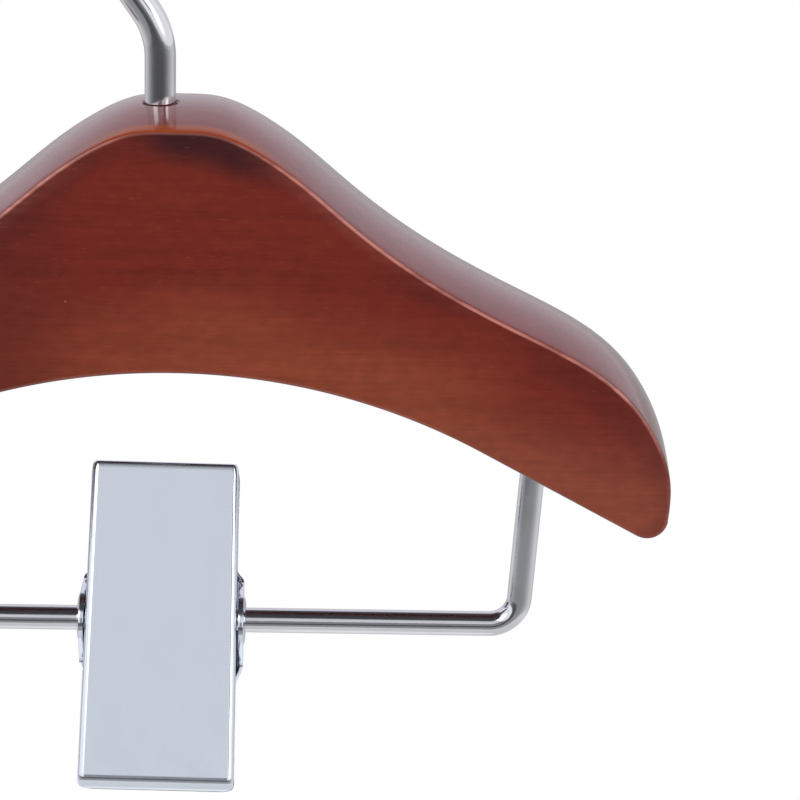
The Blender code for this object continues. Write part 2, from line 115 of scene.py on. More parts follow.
def linear(hex_colour):
    """An sRGB hex colour as linear red, green and blue."""
    channels = [int(hex_colour[i : i + 2], 16) / 255 for i in (1, 3, 5)]
    return tuple(
        c / 12.92 if c <= 0.04045 else ((c + 0.055) / 1.055) ** 2.4 for c in channels
    )


def rgba(colour, shade=1.0):
    """A colour for a socket, made darker or paler by a factor."""
    return (*(channel * shade for channel in colour), 1)


def length(name, description, default):
    return FloatProperty(
        name=name, description=description, default=default, unit="LENGTH", precision=5
    )


def angle(name, description, default):
    return FloatProperty(
        name=name, description=description, default=default, subtype="ANGLE"
    )


def share(name, description, default):
    return FloatProperty(
        name=name, description=description, default=default, subtype="FACTOR"
    )


def colour(name, description, default):
    return FloatVectorProperty(
        name=name,
        description=description,
        default=linear(default),
        subtype="COLOR",
        min=0,
        max=1,
    )


class HookSettings(PropertyGroup):
    """The swivel hook and what bolts it into the body."""

    wire: length("Wire", "Diameter of the hook's wire", 5.4 * MM)
    loop_radius: length("Loop", "Radius of the loop's middle line", 19.3 * MM)
    neck_radius: length("Neck", "Radius of the bend above the stem", 14.5 * MM)
    neck_turn: angle("Neck turn", "How far the neck leans to the left", radians(35))
    tip_angle: angle("Tip", "Where the free end of the loop lies", radians(-15))
    tip_round: length("Tip rounding", "Length of the free end's rounding", 2.4 * MM)
    stem_shown: length("Stem", "Plain stem above the wood", 7.907 * MM)
    off_centre: length("Off centre", "How far left of the middle the stem is", 2.9 * MM)
    bore_clearance: length("Bore clearance", "Gap round the stem in the wood", 0.25 * MM)
    thread_pitch: length("Thread pitch", "Rise of one turn of thread", 0.8 * MM)
    thread_depth: length("Thread depth", "Depth of the thread", 0.4 * MM)
    thread_clearance: length("Thread clearance", "Gap round the thread", 0.05 * MM)
    washer: length("Washer", "Outer diameter of the washer", 12.5 * MM)
    washer_thickness: length("Washer thickness", "Its thickness", 1.2 * MM)
    nut: length("Nut", "Nut size across its flats", 10.0 * MM)
    nut_height: length("Nut height", "Height of the nut", 5.0 * MM)
    past_nut: length("Past the nut", "How far the stem passes the nut", 1.0 * MM)
    seat_gap: length("Seat gap", "Gap between washer, nut and wood", 0.3 * MM)


class BodySettings(PropertyGroup):
    """The wooden body, whose outline is symmetric about X = 0."""

    half_width: length("Half width", "Half of the body's width", 87.2 * MM)
    drop: length("Drop", "Height from the tips to the crest", 74.1 * MM)
    depth: length("Depth", "Thickness of the wood", 28.0 * MM)
    waist: length("Waist", "Wood between the crest and the arch", 42.85 * MM)
    crown: length("Crown", "How far the top bulges across the depth", 1.8 * MM)
    arris: length("Arris", "Radius of the sanded edges", 0.5 * MM)
    tip_radius: length("Tip radius", "Radius of the lower corners", 3.7 * MM)
    under_run: length("Underside", "Straight run beside each tip", 37.0 * MM)
    tip_share: share("Tip place", "Tip corner as a share of the half width", 0.990)
    countersink: length("Countersink", "Chamfer of the hook's bore", 0.35 * MM)
    pocket: length("Pocket", "Diameter of the pocket for the nut", 15.0 * MM)
    pocket_depth: length("Pocket depth", "Depth of that pocket", 9.0 * MM)


class BarSettings(PropertyGroup):
    """The wire bar that carries the clip."""

    wire: length("Wire", "Diameter of the bar's wire", 4.5 * MM)
    below_arch: length("Below the arch", "From the arch to the bar", 51.3 * MM)
    half_span: length("Half span", "From the middle to a leg's corner", 61.9 * MM)
    bend_radius: length("Bend", "Radius of the lower corners", 5.5 * MM)
    lean: angle("Lean", "How far a leg leans outward", radians(3.6))
    socket_depth: length("Socket", "Depth of a leg in the wood", 12.0 * MM)
    socket_clearance: length("Fit", "Gap round a leg in the wood", 0.05 * MM)


class ClipSettings(PropertyGroup):
    """The clip: two channel jaws, their pads, a spacer sleeve and a torsion spring."""

    place: length("Place", "Where the clip stands along the bar", -2.5 * MM)
    swing: angle("Swing", "How far the clip has swung on the bar", radians(26))
    skew: angle("Skew", "How far it stands askew in its clearance", radians(0.8))
    bar_clearance: length("Bar clearance", "Gap round the bar", 0.5 * MM)
    gap: length("Gap", "Gap between pieces that move", 0.3 * MM)
    sheet: length("Sheet", "Thickness of the jaws' sheet", 0.9 * MM)
    bend_radius: length("Bend", "Outer radius of the channel's bends", 1.3 * MM)
    face: length("Face", "From the hinge line to a jaw's face", 6.5 * MM)
    tilt: angle("Tilt", "How far a jaw leans from the other", radians(3))
    above: length("Handle", "Jaw above the hinge line", 28.1 * MM)
    below: length("Grip", "Jaw below the hinge line", 29.0 * MM)
    top_half_width: length("Top", "Half width at the handle's end", 13.2 * MM)
    bottom_half_width: length("Bottom", "Half width at the grip", 14.0 * MM)
    rim: length("Rim", "Depth of the channel's flanges", 2.6 * MM)
    roll_over: length("Roll-over", "Rounding of the stamped outer edge", 0.5 * MM)
    fall_run: length("Fall", "How far down the handle the face falls away", 2.0 * MM)
    fall_radius: length("Fall radius", "Radius of that fall", 9.0 * MM)
    burr: length("Inner edge", "Rounding of the stamped inner edge", 0.1 * MM)
    corner: length("Corners", "Radius of the handle's corners", 0.7 * MM)
    lip_drop: length("Lip", "Height of the bent lip", 1.7 * MM)
    lip_back: length("Lip set-back", "How far the lip bends back", 1.4 * MM)
    lip_narrowing: length("Lip corners", "Rounding of the lip's ends", 1.3 * MM)
    lip_bend: length("Lip bend", "Half length of the crease's bend", 0.85 * MM)
    ear_foot: length("Ear foot", "Half height of an ear's foot", 7.4 * MM)
    boss_height: length("Boss", "Height of an outer ear's boss", 0.4 * MM)
    boss_base: length("Boss base", "Radius at the boss's foot", 4.9 * MM)
    boss_top: length("Boss top", "Radius at the boss's top", 3.4 * MM)
    joggle_above: length("Joggle above", "Run of the joggle above an ear", 2.4 * MM)
    joggle_below: length("Joggle below", "Run of the joggle below an ear", 4.0 * MM)
    sleeve_wall: length("Sleeve", "Wall of the spacer sleeve", 0.5 * MM)
    spring_wire: length("Spring wire", "Diameter of the spring's wire", 1.1 * MM)
    spring_pitch: length("Spring pitch", "From one turn to the next", 1.6 * MM)
    spring_turns: IntProperty(name="Turns", description="Whole turns", default=8)
    spring_leg: length("Spring leg", "Length of the spring's legs", 16.0 * MM)
    pad_height: length("Pad", "Height of a gripping pad", 12.5 * MM)
    pad_above_crease: length("Pad place", "From the crease to the pad", 0.8 * MM)
    pad_round: length("Pad rounding", "Rounding of the pad's nose", 0.8 * MM)
    rib_pitch: length("Ribs", "From one rib of a pad to the next", 1.25 * MM)
    rib_depth: length("Rib depth", "Depth between two ribs", 0.3 * MM)


class FinishSettings(PropertyGroup):
    """Colours of the hanger's finishes."""

    stain: colour("Stain", "Red-brown stain over the face", "#6b2318")
    # Darker brown: under the top edge, on the left and over the underside.
    stain_edge: colour("Dark stain", "Stain where it pools below the top edge", "#3d1719")
    # Paler colour on the arrises: partly worn stain, partly a painted highlight.
    worn_stain_and_highlight: colour("Worn stain", "Where sanding thins it on an arris", "#c98377")
    # Paler, warmer colour of the crest strip: partly thinner stain, partly a painted highlight.
    stain_crest_and_highlight: colour("Rubbed stain", "Where hands rub the crest", "#8f3c18")
    stain_side: colour("Side stain", "Stain over the top and the ends", "#6f2b28")
    # Paler, warmer brown towards the arch.
    stain_low: colour("Warm stain", "Thinner stain towards the underside", "#803a26")
    fleck: colour("Fleck", "Ray flecks and dust nibs", "#a4644f")
    chrome: colour("Chrome", "Plate on the wires", "#dcdde2")
    jaw_chrome: colour("Jaw chrome", "Plate on the jaws", "#e2e9f4")
    zinc: colour("Zinc", "Plate on washer, nut and sleeve", "#b3b1a9")
    spring_steel: colour("Spring steel", "Wire of the spring", "#8b8c92")
    vinyl: colour("Vinyl", "Soft pads", "#8f9396")


class StudioSettings(PropertyGroup):
    """Camera, floor and light."""

    yaw: angle("Yaw", "Camera's turn to the right of the front", radians(-1.5))
    pitch: angle("Pitch", "Camera's height above the horizon", radians(18.5))
    roll: angle("Roll", "Camera's roll", radians(1.43))
    distance: length("Distance", "From the camera to its target", 600 * MM)
    target: FloatVectorProperty(
        name="Target",
        description="Point in the middle of the picture",
        default=(39.69 * MM, 0, -111.975 * MM),
        subtype="TRANSLATION",
        unit="LENGTH",
        precision=5,
    )
    lens: FloatProperty(
        name="Lens",
        description="Focal length on a sensor 36 mm wide",
        default=152.0,
        unit="CAMERA",
    )
    floor: length("Floor", "How far the floor lies below the hook seat", 450 * MM)
    floor_radius: length("Floor radius", "Radius of the floor", 6.0)
    ambient: FloatProperty(
        name="Ambient", description="Light from all round on matt surfaces", default=0.62
    )
    key: FloatProperty(
        name="Key", description="Lamp above on the left", default=17.0, unit="POWER"
    )
    fill: FloatProperty(
        name="Fill", description="Lamp low on the right", default=6.0, unit="POWER"
    )


def set_inputs(tree, node, inputs):
    """Links each input to the socket or node given for it, and gives it anything else as its value.

    inputs is a list in the order of the node's inputs, or a dictionary by their names or numbers.
    """
    pairs = inputs.items() if isinstance(inputs, dict) else enumerate(inputs)
    for key, value in pairs:
        if isinstance(value, bpy.types.Node):
            value = next(socket for socket in value.outputs if socket.enabled)
        if isinstance(value, bpy.types.NodeSocket):
            tree.links.new(value, node.inputs[key])
        else:
            node.inputs[key].default_value = value


def add_node(tree, kind, inputs=(), **settings):
    """Adds a node with its settings, its values and its links."""
    node = tree.nodes.new("ShaderNode" + kind)
    for name, value in settings.items():
        setattr(node, name, value)
    set_inputs(tree, node, inputs)
    return node


def new_material(name):
    """A material with its node tree, its shader and its object coordinates."""
    material = bpy.data.materials.new(name)
    material.use_nodes = True
    tree = material.node_tree
    place = add_node(tree, "TexCoord").outputs["Object"]
    return material, tree, tree.nodes["Principled BSDF"], place


def stretched_noise(tree, place, grain, detail):
    """Noise in object space whose blotches are grain = (x, y, z) millimetres long."""
    scales = tuple(1 / (size * MM) for size in grain)
    mapping = add_node(tree, "Mapping", {0: place, 3: scales})
    return add_node(tree, "TexNoise", {0: mapping, "Scale": 1.0, "Detail": detail})


def clouded(tree, colour, shade, cloud, start, end, at_end):
    """A colour with a shade of itself mixed in: none where a cloud is at start, and at_end of it at end."""
    part = add_node(tree, "MapRange", [cloud, start, end, 0, at_end], **EASED)
    return add_node(tree, "Mix", {0: part, 6: rgba(colour), 7: rgba(colour, shade)}, **IN_COLOUR)


def lacquered_wood(name, colours):
    """Beech, sanded, stained red-brown and sprayed with gloss lacquer.

    The stain hides most of the grain, so the eye sees a deep red body with faint level streaks and short
    flecks. The lacquer is what shines: a clear coat that mirrors pale surroundings at a low angle.
    """
    material, tree, shader, place = new_material(name)

    # Growth rings cut lengthwise: soft streaks about 3 mm high and 60 mm long.
    streaks = stretched_noise(tree, place, (60, 9, 3), 3)
    # Pores and fibres: lines 0.35 mm high and 9 mm long, as fine as the picture can show.
    fibres = stretched_noise(tree, place, (9, 0.8, 0.35), 2)
    # The wood takes the stain unevenly, in a soft mottle about 2 mm wide.
    mottle = stretched_noise(tree, place, (2.8, 2.4, 1.8), 1)
    # Uneven stain in patches about as wide as a brush.
    patches = stretched_noise(tree, place, (34, 30, 17), 1)
    # Beech ray flecks: dashes 1.6 mm long and 0.3 mm high.
    flecks = stretched_noise(tree, place, (1.6, 1.2, 0.3), 0)

    marks = []
    for mark in ("below_edge", "above_arch", "on_face", "on_underside", "arris", "crest_thin_stain_and_highlight"):
        marks.append(add_node(tree, "Attribute", attribute_name=mark).outputs["Fac"])
    below_edge, above_arch, on_face, on_underside, arris, crest_thin_stain_and_highlight = marks
    x = add_node(tree, "SeparateXYZ", [place])

    # The brown is darker in a soft, ragged band under the top edge, most of all just right of the hook.
    ragged = add_node(tree, "MapRange", [patches, 0.3, 0.7, -2 * MM, 4 * MM], **EASED)
    below_edge = add_node(tree, "Math", [below_edge, ragged], operation="ADD")
    edge_band = add_node(tree, "MapRange", [below_edge, 0.5 * MM, 6 * MM, 1, 0], **EASED)
    aside = add_node(tree, "Math", [x, 5 * MM], operation="SUBTRACT")
    aside = add_node(tree, "Math", [aside], operation="ABSOLUTE")
    by_hook = add_node(tree, "MapRange", [aside, 5 * MM, 15 * MM, 1, 0.3], **EASED)
    edge_band = add_node(tree, "Math", [edge_band, by_hook], operation="MULTIPLY")
    edge_band = add_node(tree, "Math", [edge_band, on_face], operation="MULTIPLY")

    # It turns paler and warmer towards the arch, less so on the left, where it is a little darker everywhere.
    ragged = add_node(tree, "MapRange", [patches, 0.3, 0.7, 4 * MM, -4 * MM], **EASED)
    above_arch = add_node(tree, "Math", [above_arch, ragged], operation="ADD")
    paler_low = add_node(tree, "MapRange", [above_arch, 0, 22 * MM, 1, 0], **EASED)
    on_right = add_node(tree, "MapRange", [x, -38 * MM, -4 * MM, 0.2, 1], **EASED)
    paler_low = add_node(tree, "Math", [paler_low, on_right], operation="MULTIPLY")
    on_left = add_node(tree, "MapRange", [x, -30 * MM, -12 * MM, 0.3, 0], **EASED)

    dark = rgba(colours.stain_edge)
    tone = rgba(colours.stain)
    for part, over in ((paler_low, rgba(colours.stain_low)), (on_left, dark), (edge_band, dark)):
        tone = add_node(tree, "Mix", {0: part, 6: tone, 7: over}, **IN_COLOUR)
    tone = add_node(tree, "Mix", {0: on_face, 6: rgba(colours.stain_side), 7: tone}, **IN_COLOUR)
    # The whole underside takes the darker brown.
    tone = add_node(tree, "Mix", {0: on_underside, 6: tone, 7: dark}, **IN_COLOUR)

    # Streaks, fibres and mottle lighten or darken it by a few parts in a hundred.
    grain = add_node(tree, "MapRange", [streaks, 0.35, 0.65, 0.94, 1.04], **EASED)
    for noise, most in ((fibres, 0.05), (mottle, 0.06)):
        change = add_node(tree, "MapRange", [noise, 0.3, 0.7, -most, most], **EASED)
        grain = add_node(tree, "Math", [grain, change], operation="ADD")
    grey = add_node(tree, "CombineColor", [grain, grain, grain])
    inputs = {0: 1.0, 6: tone, 7: grey}
    tone = add_node(tree, "Mix", inputs, blend_type="MULTIPLY", **IN_COLOUR)

    flecked = add_node(tree, "MapRange", [flecks, 0.74, 0.86, 0, 0.08], **EASED)
    # Dust nibs under the lacquer: pale specks about 0.5 mm wide, one in a patch of about 17 mm.
    cells = add_node(tree, "TexVoronoi", {0: place, "Scale": 1 / (17 * MM)})
    nibs = add_node(tree, "MapRange", [cells, 0.010, 0.022, 0.9, 0], **EASED)
    # Each arris is painted paler in streaks, partly stain thinned by sanding and partly a painted highlight.
    # The crest strip is painted paler and warmer, partly thinner stain and partly a painted highlight.
    streaky = add_node(tree, "MapRange", [streaks, 0.36, 0.6, 0.45, 1], **EASED)
    worn_and_highlit = add_node(tree, "Math", [arris, streaky], operation="MULTIPLY")
    for part, over in (
        (flecked, colours.fleck),
        (nibs, colours.fleck),
        (worn_and_highlit, colours.worn_stain_and_highlight),
        (crest_thin_stain_and_highlight, colours.stain_crest_and_highlight),
    ):
        tone = add_node(tree, "Mix", {0: part, 6: tone, 7: rgba(over)}, **IN_COLOUR)

    # The wood under the coat has a soft shine of its own, a little duller along the fibres.
    dull = add_node(tree, "MapRange", [fibres, 0.3, 0.7, 0.34, 0.46], **EASED)
    # Spray leaves a faint orange peel with dimples about 2.5 mm apart, over fibres that telegraph through.
    peel = stretched_noise(tree, place, (2.5, 2.5, 2.5), 0)
    bumps = []
    for height, strength in ((peel, 0.05), (fibres, 0.15)):
        inputs = {"Strength": strength, "Distance": 0.03 * MM, "Height": height}
        bumps.append(add_node(tree, "Bump", inputs))
    inputs = {
        "Base Color": tone,
        "Roughness": dull,
        "IOR": 1.5,
        "Specular IOR Level": 0.05,
        "Normal": bumps[1],
        "Coat Weight": 1.0,
        "Coat IOR": 1.5,
        "Coat Roughness": 0.07,
        "Coat Normal": bumps[0],
    }
    set_inputs(tree, shader, inputs)
    return material


def drawn_chrome(name, colours):
    """Decorative chrome over drawn steel wire.

    It mirrors the room sharply. Draw lines under the plate and fine wiping scratches break the mirror up.
    """
    material, tree, shader, place = new_material(name)
    # Draw lines and wiping marks about 0.25 mm wide, and plating haze about 6 mm wide.
    wiping = stretched_noise(tree, place, (1.2, 0.25, 0.25), 2)
    haze = stretched_noise(tree, place, (6, 6, 6), 1)
    tone = clouded(tree, colours.chrome, 0.86, haze, 0.3, 0.7, 0.35)
    wiped = add_node(tree, "MapRange", [wiping, 0.4, 0.75, 0.05, 0.12], **EASED)
    hazed = add_node(tree, "MapRange", [haze, 0.35, 0.7, 0, 0.06], **EASED)
    rough = add_node(tree, "Math", [wiped, hazed], operation="ADD")
    bump = add_node(tree, "Bump", {"Strength": 0.12, "Distance": 0.02 * MM, "Height": wiping})
    inputs = {"Base Color": tone, "Metallic": 1.0, "Roughness": rough, "Normal": bump}
    set_inputs(tree, shader, inputs)
    return material


def pressed_chrome(name, colours):
    """Decorative chrome over pressed steel sheet, tumbled before plating.

    It mirrors the room a little softly, so a flat face looks like one even cool grey between sharp edges.
    """
    material, tree, shader, place = new_material(name)
    # Tumbling tooth of about 0.15 mm, drawn at 0.5 mm so that it shows, and cloudy plating.
    tooth = stretched_noise(tree, place, (0.5, 0.5, 0.5), 1)
    cloud = stretched_noise(tree, place, (9, 9, 12), 1)
    tone = clouded(tree, colours.jaw_chrome, 0.95, cloud, 0.3, 0.7, 0.3)
    tumbled = add_node(tree, "MapRange", [tooth, 0.3, 0.7, 0.10, 0.14], **EASED)
    cloudy = add_node(tree, "MapRange", [cloud, 0.3, 0.7, 0, 0.05], **EASED)
    rough = add_node(tree, "Math", [tumbled, cloudy], operation="ADD")
    bump = add_node(tree, "Bump", {"Strength": 0.06, "Distance": 0.006 * MM, "Height": tooth})
    inputs = {"Base Color": tone, "Metallic": 1.0, "Roughness": rough, "Normal": bump}
    set_inputs(tree, shader, inputs)
    return material


def zinc_plate(name, colours):
    """Clear-passivated zinc on steel: a pale, slightly warm metal with a crystalline bloom."""
    material, tree, shader, place = new_material(name)
    # Crystals about 0.9 mm wide, each of its own shade.
    bloom = add_node(tree, "TexVoronoi", {0: place, "Scale": 1 / (0.9 * MM)})
    crystal = add_node(tree, "SeparateColor", [bloom.outputs["Color"]])
    tone = clouded(tree, colours.zinc, 0.78, crystal, 0, 1, 0.5)
    rough = add_node(tree, "MapRange", [crystal, 0, 1, 0.26, 0.42], **EASED)
    set_inputs(tree, shader, {"Base Color": tone, "Metallic": 1.0, "Roughness": rough})
    return material


def spring_steel(name, colours):
    """Hard-drawn, tempered spring wire: a dull blue-grey mirror with draw lines along it."""
    material, tree, shader, place = new_material(name)
    # Temper colours in blotches 2.5 mm wide, and draw lines 0.2 mm wide.
    temper = stretched_noise(tree, place, (2.5, 2.5, 2.5), 2)
    lines = stretched_noise(tree, place, (0.2, 0.9, 0.9), 1)
    tone = clouded(tree, colours.spring_steel, 0.6, temper, 0.35, 0.7, 0.6)
    rough = add_node(tree, "MapRange", [lines, 0.3, 0.7, 0.22, 0.36], **EASED)
    set_inputs(tree, shader, {"Base Color": tone, "Metallic": 1.0, "Roughness": rough})
    return material


def grey_vinyl(name, colours):
    """Plasticised PVC, moulded: soft, matt grey, with a fine moulded tooth and a little dust."""
    material, tree, shader, place = new_material(name)
    tooth = stretched_noise(tree, place, (0.3, 0.3, 0.3), 2)
    dust = stretched_noise(tree, place, (3, 3, 3), 3)
    tone = clouded(tree, colours.vinyl, 1.3, dust, 0.45, 0.75, 0.35)
    rough = add_node(tree, "MapRange", [dust, 0.3, 0.7, 0.50, 0.62], **EASED)
    bump = add_node(tree, "Bump", {"Strength": 0.3, "Distance": 0.02 * MM, "Height": tooth})
    inputs = {"Base Color": tone, "Roughness": rough, "IOR": 1.53, "Normal": bump}
    set_inputs(tree, shader, inputs)
    return material


FINISHES = {
    "lacquered_wood": ("lacquered_beech", lacquered_wood),
    "drawn_chrome": ("chrome_plated_wire", drawn_chrome),
    "pressed_chrome": ("chrome_plated_sheet", pressed_chrome),
    "zinc_plate": ("zinc_plated_steel", zinc_plate),
    "tempered_steel": ("tempered_spring_wire", spring_steel),
    "grey_vinyl": ("moulded_grey_vinyl", grey_vinyl),
}


def finish(kind):
    """The material of a finish, made once."""
    name, make = FINISHES[kind]
    known = bpy.data.materials.get(name)
    return known or make(name, bpy.context.scene.hanger_finish)


def places():
    """Heights and places that follow from the sizes, in the frame."""
    scene = bpy.context.scene
    hook, body, bar = scene.hanger_hook, scene.hanger_body, scene.hanger_bar
    at = SimpleNamespace()
    at.loop_z = -(hook.loop_radius - hook.wire / 2)
    entry_x = -hook.loop_radius * cos(hook.neck_turn)
    entry_z = at.loop_z - hook.loop_radius * sin(hook.neck_turn)
    at.stem_x = -hook.off_centre
    neck_x = at.stem_x - hook.neck_radius * (1 - cos(hook.neck_turn))
    neck_z = entry_z - (neck_x - entry_x) / tan(hook.neck_turn)
    at.stem_top_z = neck_z - hook.neck_radius * sin(hook.neck_turn)
    at.crown_z = at.stem_top_z - hook.stem_shown
    at.crest_z = at.crown_z - body.crown
    at.arch_z = at.crest_z - body.waist
    at.tip_x = body.tip_share * body.half_width
    at.tip_z = at.crest_z - body.drop
    rise = at.arch_z - at.tip_z
    at.arch_radius = (at.tip_x**2 + rise**2 - body.under_run**2) / (2 * rise)
    at.arch_centre_z = at.arch_z - at.arch_radius
    at.arch_turn = atan2(at.tip_x, at.tip_z - at.arch_centre_z)
    at.arch_turn -= atan2(body.under_run, at.arch_radius)
    at.bar_z = at.arch_z - bar.below_arch
    at.pocket_z = at.arch_z + body.pocket_depth
    at.washer_z = at.pocket_z - hook.seat_gap - hook.washer_thickness
    at.nut_z = at.washer_z - hook.seat_gap - hook.nut_height
    at.stem_end_z = at.nut_z - hook.past_nut
    return at


def along(points, distances):
    """Points at the given distances along a line of points."""
    points = np.asarray(points, float)
    steps = np.linalg.norm(np.diff(points, axis=0), axis=1)
    reached = np.concatenate([[0], np.cumsum(steps)])
    columns = [np.interp(distances, reached, column) for column in points.T]
    return np.stack(columns, axis=1)


def line_length(points):
    return np.linalg.norm(np.diff(np.asarray(points, float), axis=0), axis=1).sum()


def evenly(points, count):
    """Points spaced evenly along a line of points, from its start to its end."""
    return along(points, np.linspace(0, line_length(points), count))


def band(low, high, count):
    """Faces between two rings of count points that start at low and high."""
    faces = []
    for i in range(count):
        j = (i + 1) % count
        faces.append((low + i, low + j, high + j, high + i))
    return faces


def loft(rings):
    """Points and faces of the closed solid through rings that have equally many points."""
    count = len(rings[0])
    points = [tuple(point) for ring in rings for point in ring]
    faces = []
    for row in range(len(rings) - 1):
        faces += band(row * count, (row + 1) * count, count)
    faces.append(tuple(range(count)))
    faces.append(tuple(range((len(rings) - 1) * count, len(rings) * count)))
    return points, faces


def turned(profile, sides=96, axis="Z"):
    """The closed solid of a stack of (radius, height) discs about Z or X."""
    rings = []
    for radius, height in profile:
        ring = []
        for side in range(sides):
            turn = 2 * pi * side / sides
            x, y = radius * cos(turn), radius * sin(turn)
            ring.append((x, y, height) if axis == "Z" else (height, x, y))
        rings.append(ring)
    return loft(rings)


def turned_ring(profile, sides=96, axis="Z"):
    """The closed ring of a profile of (radius, height) about Z or X."""
    points, _ = turned(profile, sides, axis)
    faces = []
    for i in range(len(profile)):
        faces += band(i * sides, (i + 1) % len(profile) * sides, sides)
    return points, faces


def rounded_corners(corners, radius, steps=5):
    """A closed outline with each corner, taken in order, rounded by a short curve."""
    rounded = []
    count = len(corners)
    for i, corner in enumerate(corners):
        here = np.array(corner)
        before = np.array(corners[i - 1]) - here
        after = np.array(corners[(i + 1) % count]) - here
        start = here + before / np.linalg.norm(before) * radius
        end = here + after / np.linalg.norm(after) * radius
        for step in range(steps + 1):
            t = step / steps
            point = (1 - t) ** 2 * start + 2 * t * (1 - t) * here + t**2 * end
            rounded.append(tuple(point))
    return rounded


def tube(path, radii, sides, start_normal):
    """Rings round a path, each turned as little as can be from the last."""
    path = np.asarray(path, float)
    radii = np.broadcast_to(np.asarray(radii, float).reshape(len(path), -1), (len(path), sides))
    ahead = np.gradient(path, axis=0)
    ahead /= np.linalg.norm(ahead, axis=1)[:, None]
    turns = 2 * pi * np.arange(sides) / sides
    normal = np.array(start_normal, float)
    rings = []
    for point, tangent, radius in zip(path, ahead, radii):
        normal = normal - tangent * (normal @ tangent)
        normal /= np.linalg.norm(normal)
        across = np.cross(tangent, normal)
        ring = np.outer(np.cos(turns), normal) + np.outer(np.sin(turns), across)
        rings.append(point + ring * radius[:, None])
    return rings


def dome(length_of_dome, radius, steps=8):
    """Distances from a rounded end, with the radius there."""
    rows = []
    for step in range(1, steps + 1):
        turn = pi / 2 * step / steps
        rows.append((length_of_dome * (1 - cos(turn)), radius * sin(turn)))
    return rows


def add_piece(name, shape, material=None, matrix=None):
    """A mesh object whose faces point out. Its place, where it has one, goes into its mesh."""
    points, faces = shape
    mesh = bpy.data.meshes.new(name)
    mesh.from_pydata(points, [], faces)
    if matrix:
        mesh.transform(matrix)
    shell = bmesh.new()
    shell.from_mesh(mesh)
    bmesh.ops.recalc_face_normals(shell, faces=shell.faces)
    shell.to_mesh(mesh)
    shell.free()
    if material:
        mesh.materials.append(material)
    piece = bpy.data.objects.new(name, mesh)
    bpy.context.scene.collection.objects.link(piece)
    return piece


def combine(piece, shape, operation, matrix=None):
    """Joins a shape to a piece, cuts it away or keeps what they share."""
    other = add_piece(piece.name + "_tool", shape, None, matrix)
    modifier = piece.modifiers.new("combine", "BOOLEAN")
    modifier.operation = operation
    modifier.solver = "EXACT"
    modifier.object = other
    bpy.context.view_layer.update()
    graph = bpy.context.evaluated_depsgraph_get()
    made = bpy.data.meshes.new_from_object(piece.evaluated_get(graph))
    before = piece.data
    piece.modifiers.clear()
    piece.data = made
    bpy.data.meshes.remove(before)
    bpy.data.objects.remove(other)
    made.name = piece.name
    if len(made.polygons) < 4:
        raise RuntimeError(f"{piece.name} was lost when a shape was combined with it")


def smooth(piece):
    """Shades a piece smooth, except across its sharp edges."""
    piece.data.shade_smooth()
    piece.data.set_sharp_from_angle(angle=SHARP_ANGLE)


def dress(piece, body, slot, *nodes):
    """Shades a piece, fixes it to its body and hides the nodes that it stands for. slot is not used."""
    smooth(piece)
    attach(piece, body)
    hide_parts(*nodes)


def spline(controls, steps):
    """A uniform cubic B-spline through the plane, held at both ends of its control points."""
    held = np.array([controls[0]] * 2 + list(controls) + [controls[-1]] * 2)
    points = []
    for i in range(len(held) - 3):
        for step in range(steps):
            t = step / steps
            weights = (
                (1 - t) ** 3 / 6,
                (3 * t**3 - 6 * t**2 + 4) / 6,
                (-3 * t**3 + 3 * t**2 + 3 * t + 1) / 6,
                t**3 / 6,
            )
            points.append(np.array(weights) @ held[i : i + 4])
    points.append(held[-1])
    return points


def ramp(values, start, end):
    """How far values have gone from start to end, held between 0 and 1."""
    return np.clip((values - start) / (end - start), 0, 1)


def body_edges(steps):
    """The body's top edge and its underside, each from the left tip to the right one, as (x, z)."""
    body, at = bpy.context.scene.hanger_body, places()
    span_steps, corner_points, arch_points = 24, 33, 80
    right = [
        (x * body.half_width, at.crest_z - z * body.drop) for x, z in BODY_TOP_SHARES
    ]
    left = [(-x, z) for x, z in reversed(right)]
    tips = [(-at.tip_x, at.tip_z), (at.tip_x, at.tip_z)]
    top = spline([tips[0], *left, (0, at.crest_z), *right, tips[1]], span_steps)
    # The tip's corner, between the end of the spline and the straight run, is rounded by an arc.
    near_tip_x, near_tip_z = top[-4]
    side = atan2(near_tip_z - at.tip_z, near_tip_x - at.tip_x)
    under = pi - at.arch_turn
    half_corner = (under - side) / 2
    away = body.tip_radius / sin(half_corner)
    centre_x = at.tip_x + away * cos((side + under) / 2)
    centre_z = at.tip_z + away * sin((side + under) / 2)
    cut_back = body.tip_radius / tan(half_corner)
    corner = []
    first, last = side - pi / 2, side + 2 * half_corner - 3 * pi / 2
    for turn in np.linspace(first, last, corner_points):
        x = centre_x + body.tip_radius * cos(turn)
        corner.append((x, centre_z + body.tip_radius * sin(turn)))
    middle = corner_points // 2
    upper = []
    for x, z in top:
        if x >= 0 and hypot(x - at.tip_x, z - at.tip_z) > cut_back:
            upper.append((x, z))
    upper += corner[: middle + 1]
    lower = []
    for turn in np.linspace(0, at.arch_turn, arch_points):
        x = at.arch_radius * sin(turn)
        lower.append((x, at.arch_centre_z + at.arch_radius * cos(turn)))
    lower += corner[: middle - 1 : -1]
    edges = []
    for half in (upper, lower):
        points = evenly(half, steps + 1)
        mirrored = points[:0:-1] * (-1, 1)
        edges.append(np.concatenate([mirrored, points]))
    return edges


def body_rows(body):
    """Depth and inset of each row across the depth: a quarter circle at each arris and the crown between."""
    arris_steps, crown_rows = 6, 21
    half = body.depth / 2
    edge = []
    for step in range(arris_steps + 1):
        turn = pi / 2 * step / arris_steps
        y = -half + body.arris * (1 - cos(turn))
        edge.append((y, body.arris * (1 - sin(turn))))
    inner = half - body.arris
    across = np.linspace(-inner, inner, crown_rows + 2)[1:-1]
    return edge + [(y, 0.0) for y in across] + [(-y, inset) for y, inset in reversed(edge)]


